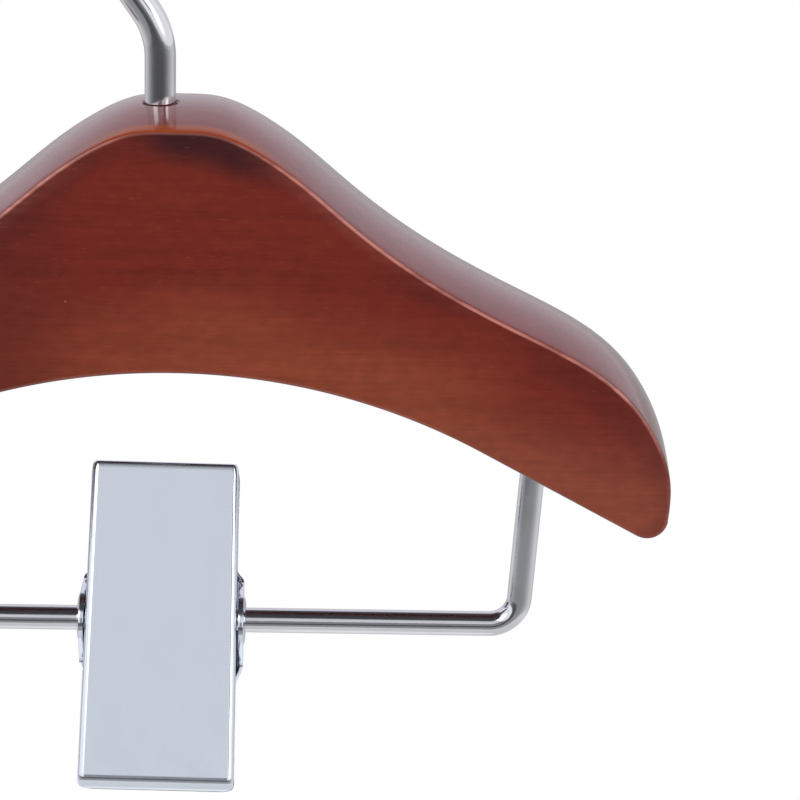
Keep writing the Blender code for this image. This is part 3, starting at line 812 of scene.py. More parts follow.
def body_shape(body):
    """The body as rows of its outline across the depth, with a grid over each flat face."""
    half_steps, grid_lines = 150, 13
    top, under = body_edges(half_steps)
    ring = np.concatenate([top, under[-2:0:-1]])
    ahead = np.roll(ring, -1, axis=0) - np.roll(ring, 1, axis=0)
    normals = np.stack([-ahead[:, 1], ahead[:, 0]], axis=1)
    normals /= np.linalg.norm(normals, axis=1)[:, None]
    upward = np.maximum(normals[:, 1], 0)

    crown_radius = ((body.depth / 2) ** 2 + body.crown**2) / (2 * body.crown)
    rows = body_rows(body)
    points = []
    for y, inset in rows:
        crown = sqrt(crown_radius**2 - y**2) - (crown_radius - body.crown)
        out = upward * crown - inset
        moved = ring + normals * out[:, None]
        points += [(x, y, z) for x, z in moved]
    count = len(ring)
    faces = []
    for row in range(len(rows) - 1):
        faces += band(row * count, (row + 1) * count, count)

    # Over each flat face, rungs run from the top edge to the underside, with a support line at either end.
    rungs = len(top)
    most_support = 0.2
    for first in (0, (len(rows) - 1) * count):
        top_line = [first + i for i in range(rungs)]
        ends = (top_line[0], top_line[-1])
        low_line = [ends[0]] + [first + count - i for i in range(1, rungs - 1)] + [ends[1]]
        lines = [top_line]
        for part in np.linspace(0, 1, grid_lines):
            line = [ends[0]]
            for i in range(1, rungs - 1):
                a = np.array(points[top_line[i]])
                b = np.array(points[low_line[i]])
                support = min(SUPPORT / np.linalg.norm(b - a), most_support)
                points.append(tuple(a + (b - a) * (support + part * (1 - 2 * support))))
                line.append(len(points) - 1)
            lines.append(line + [ends[1]])
        lines.append(low_line)
        for upper, lower in zip(lines, lines[1:]):
            for i in range(rungs - 1):
                corners = (upper[i], upper[i + 1], lower[i + 1], lower[i])
                faces.append(tuple(dict.fromkeys(corners)))
    return points, faces


def paint_body(piece, body):
    """Marks where the brown is darker or paler and where a painted highlight goes, by each point's place."""
    mesh = piece.data
    points = np.empty(len(mesh.vertices) * 3, np.float32)
    mesh.vertices.foreach_get("co", points)
    x, y, z = points.reshape(-1, 3).T
    fine_steps = 600
    nearest = []
    for edge in body_edges(fine_steps):
        least = np.full(len(x), np.inf)
        for edge_x, edge_z in edge:
            least = np.minimum(least, np.hypot(x - edge_x, z - edge_z))
        nearest.append(least)
    below_edge, above_arch = nearest
    on_top = below_edge < above_arch
    from_face = body.depth / 2 - np.abs(y)
    on_face = ramp(from_face, body.arris / 2, 0)

    # Each arris is painted paler, partly worn stain and partly a painted highlight, but less on the face,
    # round the arch, beside the hook and near the tips.
    inside = np.minimum(below_edge, above_arch) - body.arris
    arris = ramp(from_face, 0.575 * body.arris, 0.075 * body.arris)
    arris *= ramp(inside, SUPPORT, 0) * (1 - 0.3 * on_face)
    arris *= np.where(on_top, 1, 0.25)
    arris *= 0.3 + 0.7 * ramp(np.abs(x), 8 * MM, 18 * MM)
    down = (places().crest_z - z) / body.drop
    arris *= 1 - 0.8 * ramp(down, 0.6, 0.8)

    # Along the crest a strip 3 mm deep beside each arris is painted paler and warmer: partly thinner stain,
    # partly a painted highlight where the crest catches the light.
    from_crest = np.abs(x - 2 * MM)
    crest_thin_stain_and_highlight = ramp(from_face, 3.0 * MM, 2.3 * MM) * (1 - on_face)
    crest_thin_stain_and_highlight *= ramp(from_crest, 22 * MM, 10 * MM) * on_top
    # All of the underside, off the faces, is marked for the darker brown.
    on_underside = (above_arch < below_edge) * (1 - on_face)
    values = {
        "below_edge": below_edge,
        "above_arch": above_arch,
        "on_face": on_face,
        "on_underside": on_underside,
        "arris": arris,
        "crest_thin_stain_and_highlight": crest_thin_stain_and_highlight,
    }
    for name, value in values.items():
        attribute = mesh.attributes.new(name, "FLOAT", "POINT")
        attribute.data.foreach_set("value", value.astype(np.float32))


def bar_leg(side):
    """Where a leg's straight run starts above its bend, and where it ends in the body, as (x, z)."""
    bar, at = bpy.context.scene.hanger_bar, places()
    turn = pi / 2 - bar.lean
    reach = bar.bend_radius * tan(turn / 2)
    foot_x = bar.half_span + reach * sin(bar.lean)
    foot_z = at.bar_z + reach * cos(bar.lean)
    under_z = at.tip_z + (at.tip_x - foot_x) * tan(at.arch_turn)
    rise = (under_z - foot_z) / (1 + tan(bar.lean) * tan(at.arch_turn))
    end_z = foot_z + rise + bar.socket_depth * cos(bar.lean)
    end_x = foot_x + (end_z - foot_z) * tan(bar.lean)
    return (side * foot_x, foot_z), (side * end_x, end_z)


class HANGER_OT_wooden_body(Operator):
    """Builds the wooden body with its bore, pocket and sockets"""

    bl_idname = "hanger.wooden_body"
    bl_label = "Wooden body"

    def execute(self, context):
        hook, body, bar = (
            context.scene.hanger_hook,
            context.scene.hanger_body,
            context.scene.hanger_bar,
        )
        at = places()
        piece = add_piece("lacquered_body", body_shape(body), finish("lacquered_wood"))
        bore = hook.wire / 2 + hook.bore_clearance
        run = body.countersink + OVERRUN
        profile = [
            (body.pocket / 2, at.arch_z - OVERRUN),
            (body.pocket / 2, at.pocket_z),
            (bore, at.pocket_z),
            (bore, at.crown_z - body.countersink),
            (bore + run, at.crown_z - body.countersink + run),
        ]
        across = Matrix.Translation((at.stem_x, 0, 0))
        combine(piece, turned(profile), "DIFFERENCE", across)
        radius = bar.wire / 2 + bar.socket_clearance
        for side in (-1, 1):
            foot, end = bar_leg(side)
            run = hypot(end[0] - foot[0], end[1] - foot[1]) + bar.socket_clearance
            at_leg = Matrix.Translation((foot[0], 0, foot[1]))
            at_leg @= Matrix.Rotation(side * bar.lean, 4, "Y")
            combine(piece, turned([(radius, 0), (radius, run)]), "DIFFERENCE", at_leg)
        paint_body(piece, body)
        dress(piece, "hanger", "lacquered_wood", "wooden_body")
        return {"FINISHED"}


def hook_line(hook):
    """The hook's middle line from its free end to the stem's end."""
    at = places()
    line = []
    for turn in np.linspace(hook.tip_angle, pi + hook.neck_turn, 240):
        x = hook.loop_radius * cos(turn)
        line.append((x, 0, at.loop_z + hook.loop_radius * sin(turn)))
    for turn in np.linspace(hook.neck_turn, 0, 40):
        x = at.stem_x - hook.neck_radius * (1 - cos(turn))
        line.append((x, 0, at.stem_top_z + hook.neck_radius * sin(turn)))
    line.append((at.stem_x, 0, at.stem_end_z))
    return line


class HANGER_OT_swivel_hook(Operator):
    """Builds the hook with its rounded end and its thread"""

    bl_idname = "hanger.swivel_hook"
    bl_label = "Swivel hook"

    def execute(self, context):
        hook = context.scene.hanger_hook
        at = places()
        sides, turn_steps, plain_rings = 48, 10, 12
        line = hook_line(hook)
        total = line_length(line)
        radius = hook.wire / 2
        bent_end = total - (at.stem_top_z - at.stem_end_z)
        # The thread starts three turns above the washer.
        thread_start = total - (at.washer_z - at.stem_end_z) - 3 * hook.thread_pitch
        rows = dome(hook.tip_round, radius)
        rows += [(s, radius) for s in np.arange(hook.tip_round + MM, bent_end, MM)]
        rows += [(s, radius) for s in np.linspace(bent_end, thread_start, plain_rings)]
        distances = np.array([s for s, _ in rows])
        radii = np.repeat(np.array([[r] for _, r in rows]), sides, axis=1)

        # Each ring of the thread is shallower or deeper round it, as the helix passes.
        step = hook.thread_pitch / turn_steps
        threaded = np.arange(thread_start + step, total, step)
        turn = threaded[:, None] / hook.thread_pitch + np.arange(sides)[None] / sides
        # Crests and roots are cut a little flat.
        flat = 0.15
        groove = np.clip(np.abs(2 * (turn % 1) - 1) * (1 + 2 * flat) - flat, 0, 1)
        run_in = ramp(threaded, thread_start, thread_start + hook.thread_pitch)
        end_chamfer = ramp(threaded, total - hook.thread_pitch, total)
        chamfer_depth = 1.4 * hook.thread_depth
        depth = hook.thread_depth * (run_in[:, None] * groove)
        depth = np.maximum(depth, chamfer_depth * end_chamfer[:, None])
        distances = np.concatenate([distances, threaded])
        radii = np.concatenate([radii, radius - depth])

        shape = loft(tube(along(line, distances), radii, sides, (0, 1, 0)))
        piece = add_piece("chromed_hook", shape, finish("drawn_chrome"))
        dress(piece, "hook", "bright_chrome", "swivel_hook")
        return {"FINISHED"}


class HANGER_OT_hook_fixings(Operator):
    """Builds the washer and the nut in the pocket"""

    bl_idname = "hanger.hook_fixings"
    bl_label = "Washer and nut"

    def execute(self, context):
        hook = context.scene.hanger_hook
        at = places()
        hole = hook.wire / 2 + hook.thread_clearance
        rim, thickness = hook.washer / 2, hook.washer_thickness
        plate = finish("zinc_plate")
        corners = [(hole, 0), (rim, 0), (rim, thickness), (hole, thickness)]
        washer = rounded_corners(corners, thickness / 5)
        on_stem = Matrix.Translation((at.stem_x, 0, at.washer_z))
        piece = add_piece("plated_washer", turned_ring(washer), plate, on_stem)
        dress(piece, "hook", "zinc_plate", "hook_washer")

        # A hexagonal prism, trimmed by the two cones that chamfer a nut's corners at 30 degrees.
        corner = hook.nut / 2 / cos(pi / 6)
        flat, clear = hook.nut / 2 * 0.96, corner * 1.02
        chamfer = (clear - flat) * tan(radians(30))
        top = hook.nut_height
        on_stem = Matrix.Translation((at.stem_x, 0, at.nut_z))
        piece = add_piece("plated_nut", turned([(corner, 0), (corner, top)], 6), plate, on_stem)
        cones = [(flat, 0), (clear, chamfer), (clear, top - chamfer), (flat, top)]
        combine(piece, turned(cones), "INTERSECT", on_stem)
        sink = hook.thread_depth
        wide = hole + sink + OVERRUN
        bore = [(wide, -OVERRUN), (hole, sink), (hole, top - sink), (wide, top + OVERRUN)]
        combine(piece, turned(bore, 48), "DIFFERENCE", on_stem)
        dress(piece, "hook", "zinc_plate", "hook_nut")
        return {"FINISHED"}


class HANGER_OT_clip_bar(Operator):
    """Builds the wire bar below the body"""

    bl_idname = "hanger.clip_bar"
    bl_label = "Clip bar"

    def execute(self, context):
        bar = context.scene.hanger_bar
        at = places()
        flat_rings, bend_rings, sides = 20, 25, 48
        bend = pi / 2 - bar.lean
        bend_x = bar.half_span - bar.bend_radius * tan(bend / 2)
        right = [(x, at.bar_z) for x in np.linspace(0, bend_x, flat_rings, endpoint=False)]
        for turn in np.linspace(0, bend, bend_rings):
            x = bend_x + bar.bend_radius * sin(turn)
            right.append((x, at.bar_z + bar.bend_radius * (1 - cos(turn))))
        # Rings 5 mm apart go up the leg. Those past its end fall on the end, and one of them is kept.
        ups = np.linspace(5 * MM, 60 * MM, 12)
        end = bar_leg(1)[1]
        right += [tuple(point) for point in along([right[-1], end], ups)]
        right = list(dict.fromkeys(right))
        path = [(-x, 0, z) for x, z in reversed(right[1:])] + [(x, 0, z) for x, z in right]
        rings = tube(path, np.full(len(path), bar.wire / 2), sides, (0, 1, 0))
        piece = add_piece("chromed_bar", loft(rings), finish("drawn_chrome"))
        dress(piece, "hanger", "bright_chrome", "clip_bar")
        return {"FINISHED"}


def clip_matrix(tilt=0.0, turned_by=0.0):
    """Where the clip's hinge line lies, with a jaw's own tilt and turn about it."""
    clip = bpy.context.scene.hanger_clip
    at = places()
    carriage = Euler((-clip.swing, clip.skew, 0)).to_matrix().to_4x4()
    jaw = Euler((tilt, 0, turned_by)).to_matrix().to_4x4()
    return Matrix.Translation((clip.place, 0, at.bar_z)) @ carriage @ jaw


def jaw_half_width(clip, z):
    part_down = (clip.above - z) / (clip.above + clip.below)
    return clip.top_half_width + part_down * (clip.bottom_half_width - clip.top_half_width)


def jaw_levels(clip, joggle):
    """Levels of a jaw from its top to its lip.

    Each is a height, an extra half width, a set-back, the rim's place, and what is cut off the outer and the
    inner side.
    """
    rim = clip.rim - clip.face
    ear = clip.face - clip.sheet - clip.gap
    levels = []

    # The stamped edge at the handle's end: rolled over outside, nearly sharp inside.
    steps = 8
    for step in range(steps + 1):
        turn = pi / 2 * step / steps
        down = clip.roll_over * (1 - cos(turn))
        fall = (clip.fall_run - down) ** 2 / (2 * clip.fall_radius)
        inner_cut = clip.burr * max(1 - 2 * step / steps, 0)
        outer_cut = clip.roll_over * (1 - sin(turn)) + fall
        levels.append((clip.above - down, 0, 0, rim, outer_cut, inner_cut))
    for down in np.linspace(clip.roll_over, clip.fall_run, steps + 1)[1:]:
        fall = (clip.fall_run - down) ** 2 / (2 * clip.fall_radius)
        levels.append((clip.above - down, 0, 0, rim, fall, 0))

    # The ears, round from 15 to 165 degrees, and the joggle that carries an outer ear past an inner one. The
    # outline is averaged over fine steps to either side, which eases its corners. Every fifth level is kept.
    fine_step, either_side, kept = 0.05 * MM, 12, 5
    foot = clip.ear_foot
    turns = np.radians(np.linspace(15, 165, 40))
    ear_z = [foot, *(ear * np.cos(turns)), -foot]
    ear_rim = [rim, *(ear * np.sin(turns)), rim]
    highest, lowest = foot + clip.joggle_above + MM, -foot - clip.joggle_below - MM
    fine = np.arange(highest, lowest, -fine_step)
    window = 2 * either_side + 1
    rims = np.pad(np.interp(-fine, -np.array(ear_z), ear_rim), either_side, "edge")
    eased = np.convolve(rims, np.ones(window) / window, "valid")
    run = [-foot - clip.joggle_above, -foot, foot, foot + clip.joggle_below]
    wide = np.interp(-fine, run, [0, 1, 1, 0])
    wide = wide**3 * (10 - 15 * wide + 6 * wide**2) * joggle
    for z, wider, rim_end in list(zip(fine, wide, eased))[::kept]:
        levels.append((z, wider, 0, rim_end, 0, 0))

    # The crease and the lip below it, which bends back and has no flanges. Two levels above the crease keep
    # the face flat down to it.
    start = -clip.below + clip.lip_bend
    levels.append((start + 2 * MM, 0, 0, rim, 0, 0))
    levels.append((start + SUPPORT, 0, 0, rim, 0, 0))
    lean = atan2(clip.lip_back, clip.lip_drop)
    radius = clip.lip_bend / tan(lean / 2)
    bend = [(start - radius * sin(t), radius * (1 - cos(t))) for t in np.linspace(0, lean, 11)]
    end = (-clip.below - clip.lip_drop, clip.lip_back)
    flat = [tuple(point) for point in evenly([bend[-1], end], 9)]
    # The flanges run out over the lip's first part, and its edge is rounded over its last.
    first_part, last_part = 0.15, 0.12
    lip_rim = clip.bend_radius + clip.gap - clip.face
    for z, back in bend + flat[1:]:
        down = (start - z) / (clip.lip_bend + clip.lip_drop)
        narrower = clip.lip_narrowing * (1 - sqrt(max(1 - down**4, 0)))
        rim_end = rim + (lip_rim + back - rim) * min(down / first_part, 1)
        cut = clip.sheet / 4 * max(down - 1 + last_part, 0) / last_part
        levels.append((z, -narrower, back, rim_end, cut, cut))
    return levels


def jaw_ring(clip, level):
    """One level of a channel: its right half from the outer side to the inner one, then its left half back."""
    z, wider, back, rim, outer_cut, inner_cut = level
    half = jaw_half_width(clip, z) + wider
    face = -clip.face + back
    bend_x = half - clip.bend_radius
    bend_y = face + clip.bend_radius
    wall = min(SUPPORT, (rim - clip.burr - bend_y) / 2)
    # Shares of the burr across and down that round a flange's edge.
    rounding = ((0, 1), (0.3, 0.3), (1, 0))
    right = []
    for inset, burr in ((outer_cut, clip.burr), (clip.sheet - inner_cut, -clip.burr)):
        radius = clip.bend_radius - inset
        side = [(bend_x - SUPPORT, face + inset)]
        for turn in np.linspace(-pi / 2, 0, 13):
            side.append((bend_x + radius * cos(turn), bend_y + radius * sin(turn)))
        side.append((half - inset, bend_y + wall))
        for across, down in rounding:
            side.append((half - inset - burr * across, rim - clip.burr * down))
        right += side[::-1] if right else side

    # The handle's corners are rounded, seen from the front. Lower down, that fades out.
    fade = max(1 - (clip.above - z) / (4 * clip.corner), 0)
    ring = []
    for x, y in right + [(-x, y) for x, y in reversed(right)]:
        into = max(abs(x) - (half - clip.corner), 0)
        fall = clip.corner - sqrt(max(clip.corner**2 - into**2, 0))
        ring.append((x, y, z - fall * fade))
    return ring


def jaw_boss(clip, hand, outside):
    """The low boss pressed outward round the bar in an outer ear, on the side that hand gives."""
    boss = [
        (clip.boss_base, hand * (outside - clip.sheet / 2)),
        (clip.boss_base, hand * outside),
    ]
    steps = 6
    for step in range(1, steps + 1):
        t = step / steps
        eased = t * t * (3 - 2 * t)
        radius = clip.boss_base + (clip.boss_top - clip.boss_base) * t
        boss.append((radius, hand * (outside + clip.boss_height * eased)))
    return turned(boss, 64, "X")


class HANGER_OT_clip_jaws(Operator):
    """Builds the two pressed jaws of the clip"""

    bl_idname = "hanger.clip_jaws"
    bl_label = "Clip jaws"

    def execute(self, context):
        clip, bar = context.scene.hanger_clip, context.scene.hanger_bar
        bore = bar.wire / 2 + clip.bar_clearance
        reach = clip.bottom_half_width + OVERRUN
        cutter = turned([(bore, -reach), (bore, reach)], 64, "X")
        chrome = finish("pressed_chrome")
        for side, joggle, turned_by in (("front", 0, 0), ("rear", clip.sheet + clip.gap, pi)):
            rings = [jaw_ring(clip, level) for level in jaw_levels(clip, joggle)]
            at_hinge = clip_matrix(clip.tilt, turned_by)
            piece = add_piece(f"pressed_{side}_jaw", loft(rings), chrome, at_hinge)
            if joggle:
                outside = jaw_half_width(clip, 0) + joggle
                for hand in (-1, 1):
                    combine(piece, jaw_boss(clip, hand, outside), "UNION", at_hinge)
            combine(piece, cutter, "DIFFERENCE", at_hinge)
            dress(piece, f"{side}_jaw", "bright_chrome", f"clip_{side}_jaw")
        return {"FINISHED"}


def pad_outline(clip, low, high, back):
    """A pad's side view as (y, z): a flat back, and a ribbed front with rounded ends."""
    nose = clip.pad_round
    step = 0.1 * MM
    outline = [(back, low)]
    for z in np.arange(low, high + step / 2, step):
        front = (z * sin(clip.tilt) - clip.gap / 2) / cos(clip.tilt)
        groove = 0.5 - 0.5 * cos(2 * pi * (z - low) / clip.rib_pitch)
        from_end = min(z - low, high - z) / nose
        rounded = nose * (1 - sqrt(max(1 - (1 - min(from_end, 1)) ** 2, 0)))
        outline.append((front - max(rounded, groove * clip.rib_depth), z))
    outline.append((back, high))
    return outline


class HANGER_OT_clip_pads(Operator):
    """Builds the ribbed pads in the jaws"""

    bl_idname = "hanger.clip_pads"
    bl_label = "Clip pads"

    def execute(self, context):
        clip = context.scene.hanger_clip
        low = -clip.below + clip.pad_above_crease
        high = low + clip.pad_height
        back = clip.sheet + clip.gap - clip.face
        half = min(jaw_half_width(clip, low), jaw_half_width(clip, high))
        half -= clip.sheet + clip.gap
        outline = pad_outline(clip, low, high, back)
        middle_y = (back + outline[len(outline) // 2][0]) / 2
        middle_z = (low + high) / 2
        # The moulded ends are rounded: the outline draws in towards its middle.
        soft = clip.rib_depth
        right = []
        for turn in np.linspace(0, pi / 2, 6):
            right.append((half - soft * (1 - sin(turn)), soft * (1 - cos(turn))))
        rings = []
        for x, inset in [(-x, inset) for x, inset in reversed(right)] + right:
            ring = []
            for y, z in outline:
                off_y, off_z = y - middle_y, z - middle_z
                closer = 1 - inset / hypot(off_y, off_z)
                ring.append((x, middle_y + off_y * closer, middle_z + off_z * closer))
            rings.append(ring)
        for side, turned_by in (("front", 0), ("rear", pi)):
            at_hinge = clip_matrix(clip.tilt, turned_by)
            piece = add_piece(f"vinyl_{side}_pad", loft(rings), finish("grey_vinyl"), at_hinge)
            dress(piece, f"{side}_jaw", "grey_vinyl", f"{side}_jaw_pad")
        return {"FINISHED"}


class HANGER_OT_clip_sleeve(Operator):
    """Builds the spacer sleeve on the bar"""

    bl_idname = "hanger.clip_sleeve"
    bl_label = "Clip sleeve"

    def execute(self, context):
        clip, bar = context.scene.hanger_clip, context.scene.hanger_bar
        bore = bar.wire / 2 + clip.bar_clearance
        outer = bore + clip.sleeve_wall
        reach = jaw_half_width(clip, 0) - clip.sheet - clip.gap
        wall = [(bore, -reach), (outer, -reach), (outer, reach), (bore, reach)]
        shape = turned_ring(rounded_corners(wall, clip.sleeve_wall / 4), 64, "X")
        piece = add_piece("plated_sleeve", shape, finish("zinc_plate"), clip_matrix())
        dress(piece, "clip_carriage", "zinc_plate", "clip_sleeve")
        return {"FINISHED"}


class HANGER_OT_clip_spring(Operator):
    """Builds the torsion spring as a fixed piece; the real one winds as the clip opens"""

    bl_idname = "hanger.clip_spring"
    bl_label = "Clip spring"

    def execute(self, context):
        clip, bar = context.scene.hanger_clip, context.scene.hanger_bar
        turn_steps, leg_rings, sides = 40, 14, 14
        wire_radius = clip.spring_wire / 2
        radius = bar.wire / 2 + clip.bar_clearance + clip.sleeve_wall + clip.gap
        radius += wire_radius
        wall = clip.face - clip.sheet
        end_y = wall * cos(clip.tilt) + clip.spring_leg * sin(clip.tilt)
        end_y -= clip.gap + wire_radius
        bearing = atan2(clip.spring_leg, -end_y)
        reach = hypot(clip.spring_leg, end_y)
        start = bearing + atan2(sqrt(reach**2 - radius**2), radius)
        sweep = 2 * pi * clip.spring_turns + (3 * pi - 2 * start)
        half = clip.spring_pitch * sweep / (2 * pi) / 2
        coil = []
        for turn in np.linspace(0, sweep, turn_steps * clip.spring_turns):
            x = half * (2 * turn / sweep - 1)
            coil.append((x, radius * cos(start + turn), radius * sin(start + turn)))
        first, last = (-half, -end_y, clip.spring_leg), (half, end_y, clip.spring_leg)
        legs = []
        for line in ([first, coil[0]], [coil[-1], last]):
            legs.append([tuple(point) for point in evenly(line, leg_rings)])
        path = legs[0][:-1] + coil + legs[1][1:]
        rings = tube(path, np.full(len(path), wire_radius), sides, (1, 0, 0))
        hinge = clip_matrix()
        piece = add_piece("wound_spring", loft(rings), finish("tempered_steel"), hinge)
        smooth(piece)
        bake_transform(piece)
        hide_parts("clip_spring")
        return {"FINISHED"}


def stage_material(name):
    """A material for the stage, with a node tree that has only its output."""
    material = bpy.data.materials.new(name)
    material.use_nodes = True
    tree = material.node_tree
    tree.nodes.remove(tree.nodes["Principled BSDF"])
    return material, tree


def show_both(tree, part, under, over):
    """Sends one shader to the material's output, with part of another over it."""
    mix = add_node(tree, "MixShader", [part, under, over])
    set_inputs(tree, tree.nodes["Material Output"], [mix])


def seen_directly(tree):
    """1 for a ray from the camera, a mirror or glass, and 0 for light on a matt surface."""
    path = add_node(tree, "LightPath")
    seen = path.outputs["Is Camera Ray"]
    for ray in ("Is Glossy Ray", "Is Transmission Ray"):
        seen = add_node(tree, "Math", [seen, path.outputs[ray]], operation="MAXIMUM")
    return seen


def distance_out(tree):
    """A point of a stage piece in that piece's own coordinates, and its distance from their origin."""
    place = add_node(tree, "TexCoord").outputs["Object"]
    away = add_node(tree, "VectorMath", [place], operation="LENGTH")
    return place, away.outputs["Value"]


def add_floor(studio):
    """A wide pale disc that takes the shadow near the object and turns plain white further off."""
    shape = [(radius, -studio.floor) for radius in (studio.floor_radius, 1.5, 0.5)]
    points, faces = turned(shape, 64)
    floor = add_piece("studio_floor", (points, faces[:-2] + faces[-1:]))
    material, tree = stage_material("pale_floor")
    matt = add_node(tree, "BsdfDiffuse", [rgba(linear("#f2f2f2"))])
    glow = add_node(tree, "Emission", {1: 1.0})
    _, away = distance_out(tree)
    # Measured from the hook seat above it: a little of the matt disc shows under the object, and from about
    # 0.22 m off the middle it is plain white.
    far = add_node(tree, "MapRange", [away, 0.22, 0.5], **EASED)
    glowing = add_node(tree, "Math", [far, seen_directly(tree)], operation="MULTIPLY")
    show_both(tree, glowing, matt, glow)
    floor.data.materials.append(material)


def hang_flag(flag, shade, cover, glow=1.0):
    """Makes a piece into a grey flag or a glowing card, which only shiny surfaces mirror.

    cover makes the node that says how much of it is there.
    """
    material, tree = stage_material(flag.name + "_cloth")
    cloth = add_node(tree, "Emission", [rgba(linear(shade)), glow])
    clear = add_node(tree, "BsdfTransparent")
    show_both(tree, cover(tree), clear, cloth)
    flag.data.materials.append(material)
    for ray in ("camera", "diffuse", "shadow", "transmission"):
        setattr(flag, "visible_" + ray, False)


def facing(place, target):
    """The turn that points the Z axis of a lamp or a flag at place straight away from its target."""
    return (Vector(place) - Vector(target)).to_track_quat("Z", "Y")


def add_flag(name, centre, size, shade, fade, glow):
    """An upright or overhead flag or card that faces the object and fades out towards its edges."""

    def cover(tree):
        place = add_node(tree, "TexCoord").outputs["Generated"]
        split = add_node(tree, "SeparateXYZ", [place])
        covered = 1.0
        for channel in (0, 1):
            off = add_node(tree, "Math", [split.outputs[channel], 0.5], operation="SUBTRACT")
            off = add_node(tree, "Math", [off], operation="ABSOLUTE")
            inside = add_node(tree, "MapRange", [off, 0.5 - fade / 2, 0.5, 1, 0], **EASED)
            covered = add_node(tree, "Math", [inside, covered], operation="MULTIPLY")
        return covered

    x, y = size[0] / 2, size[1] / 2
    sheet = ([(-x, -y, 0), (x, -y, 0), (x, y, 0), (-x, y, 0)], [(0, 1, 2, 3)])
    flag = add_piece(name, sheet)
    turn = facing(centre, FLAG_TARGET).to_matrix().to_4x4()
    flag.matrix_world = Matrix.Translation(centre) @ turn
    hang_flag(flag, shade, cover, glow)


def add_floor_flag(studio):
    """A dark ring on the floor, darkest in front, which gives the metal and the lacquer their depth."""
    # How far left of the front the floor is darkest.
    aside = radians(7)

    def cover(tree):
        # Distances are in metres from the middle, and backward is -1 in front and 1 behind.
        place, away = distance_out(tree)
        inputs = [place, (sin(aside), cos(aside), 0)]
        across = add_node(tree, "VectorMath", inputs, operation="DOT_PRODUCT")
        inputs = [across.outputs["Value"], away]
        backward = add_node(tree, "Math", inputs, operation="DIVIDE")
        inner = add_node(tree, "MapRange", [away, 0.28, 0.5, 0, 0.75], **EASED)
        outer = add_node(tree, "MapRange", [away, 0.78, 1.06], **EASED)
        ring = add_node(tree, "Math", [inner, outer], operation="MAXIMUM")
        front = add_node(tree, "MapRange", [backward, -1, 0.5, 1, 0.3], **EASED)
        back = add_node(tree, "MapRange", [backward, 0.4, 0.95, 0.3, 0.6], **EASED)
        sector = add_node(tree, "Math", [front, back], operation="MAXIMUM")
        far = add_node(tree, "Math", [ring, sector], operation="MULTIPLY")
        near = add_node(tree, "MapRange", [away, 0.25, 0.5, 0.28, 0], **EASED)
        return add_node(tree, "Math", [far, near], operation="MAXIMUM")

    points, faces = turned([(studio.floor_radius, 0), (1.0, 0), (0.1, 0)], 64)
    flag = add_piece("floor_flag", (points, faces[:-2]))
    flag.location.z = 2 * MM - studio.floor
    hang_flag(flag, "#59595b", cover)


def add_softbox(name, place, size, power):
    """A square lamp that faces the object. Shiny surfaces mirror a card near it, and not the lamp."""
    light = bpy.data.lights.new(name, "AREA")
    light.shape = "SQUARE"
    light.size = size
    light.energy = power
    lamp = bpy.data.objects.new(name, light)
    lamp.location = place
    lamp.rotation_euler = facing(place, LAMP_TARGET).to_euler()
    lamp.visible_glossy = False
    bpy.context.scene.collection.objects.link(lamp)


def add_camera(studio):
    """The camera at the photograph's angle."""
    yaw, pitch, roll = studio.yaw, studio.pitch, studio.roll
    back = Vector((sin(yaw) * cos(pitch), -cos(yaw) * cos(pitch), sin(pitch)))
    right = Vector((cos(yaw), sin(yaw), 0))
    up = back.cross(right)
    x_axis = cos(roll) * right + sin(roll) * up
    y_axis = cos(roll) * up - sin(roll) * right
    matrix = Matrix((x_axis, y_axis, back)).transposed().to_4x4()
    matrix.translation = Vector(studio.target) + back * studio.distance
    data = bpy.data.cameras.new("photo_camera")
    data.sensor_width = 36
    data.lens = studio.lens
    data.clip_start = 0.01
    camera = bpy.data.objects.new("photo_camera", data)
    bpy.context.scene.collection.objects.link(camera)
    camera.matrix_world = matrix
    bpy.context.scene.camera = camera


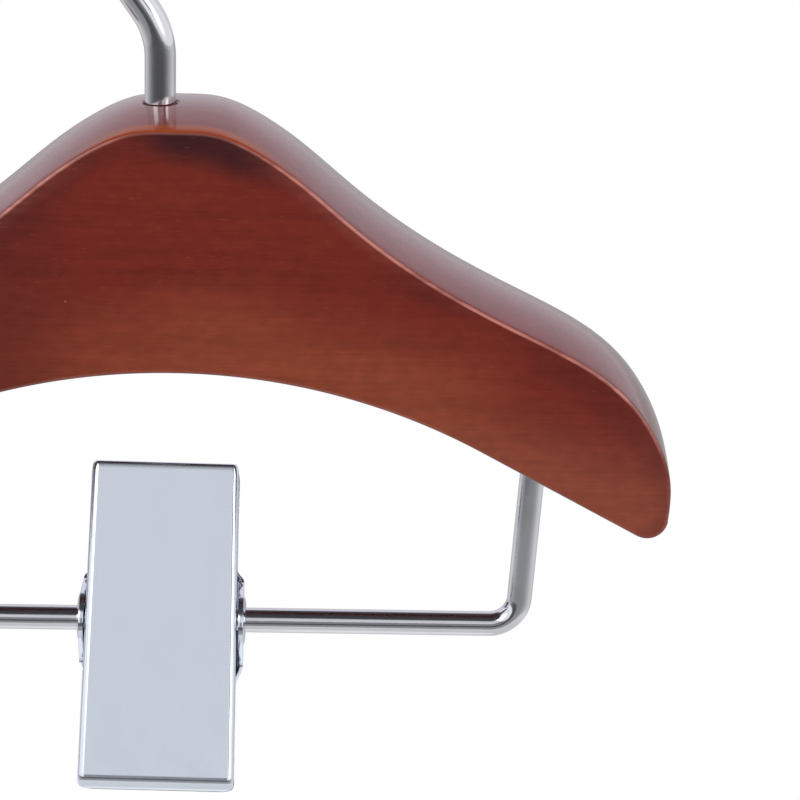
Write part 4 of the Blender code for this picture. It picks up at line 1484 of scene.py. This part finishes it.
class HANGER_OT_studio(Operator):
    """Builds the floor, the lamps, the flags, the cards and the camera"""

    bl_idname = "hanger.studio"
    bl_label = "Studio"

    def execute(self, context):
        studio = context.scene.hanger_studio
        context.scene.view_settings.view_transform = "Standard"
        add_camera(studio)
        add_floor(studio)
        add_floor_flag(studio)
        for flag in FLAGS:
            add_flag(*flag)
        add_softbox("key_lamp", (-0.9, -1.0, 1.3), 0.9, studio.key)
        add_softbox("fill_lamp", (1.2, -0.9, 0.4), 0.9, studio.fill)
        world = bpy.data.worlds.new("white_room")
        context.scene.world = world
        world.use_nodes = True
        tree = world.node_tree
        level = [seen_directly(tree), 0, 1, studio.ambient, 1]
        strength = add_node(tree, "MapRange", level, **EASED)
        inputs = {"Strength": strength, "Color": (1, 1, 1, 1)}
        set_inputs(tree, tree.nodes["Background"], inputs)
        return {"FINISHED"}


class HANGER_PT_panel(Panel):
    """Sizes, finishes and pieces of the hanger"""

    bl_label = "Pet clothes hanger"
    bl_space_type = "VIEW_3D"
    bl_region_type = "UI"
    bl_category = "Hanger"

    def draw(self, context):
        for name in SETTINGS:
            settings = getattr(context.scene, name)
            box = self.layout.box()
            for key in settings.bl_rna.properties.keys():
                if key not in ("rna_type", "name"):
                    box.prop(settings, key)
        for operator in PIECES:
            self.layout.operator(operator.bl_idname)


SETTINGS = {
    "hanger_hook": HookSettings,
    "hanger_body": BodySettings,
    "hanger_bar": BarSettings,
    "hanger_clip": ClipSettings,
    "hanger_finish": FinishSettings,
    "hanger_studio": StudioSettings,
}
PIECES = (
    HANGER_OT_wooden_body,
    HANGER_OT_swivel_hook,
    HANGER_OT_hook_fixings,
    HANGER_OT_clip_bar,
    HANGER_OT_clip_jaws,
    HANGER_OT_clip_pads,
    HANGER_OT_clip_sleeve,
    HANGER_OT_clip_spring,
    HANGER_OT_studio,
)


def register():
    for group in (*SETTINGS.values(), *PIECES, HANGER_PT_panel):
        bpy.utils.register_class(group)
    for name, group in SETTINGS.items():
        setattr(bpy.types.Scene, name, PointerProperty(type=group))


def unregister():
    for name in SETTINGS:
        delattr(bpy.types.Scene, name)
    for group in (HANGER_PT_panel, *reversed(PIECES), *SETTINGS.values()):
        bpy.utils.unregister_class(group)


def main():
    register()
    bpy.ops.hanger.wooden_body()
    bpy.ops.hanger.swivel_hook()
    bpy.ops.hanger.hook_fixings()
    bpy.ops.hanger.clip_bar()
    bpy.ops.hanger.clip_jaws()
    bpy.ops.hanger.clip_pads()
    bpy.ops.hanger.clip_sleeve()
    bpy.ops.hanger.clip_spring()
    bpy.ops.hanger.studio()


if __name__ == "__main__":
    main()
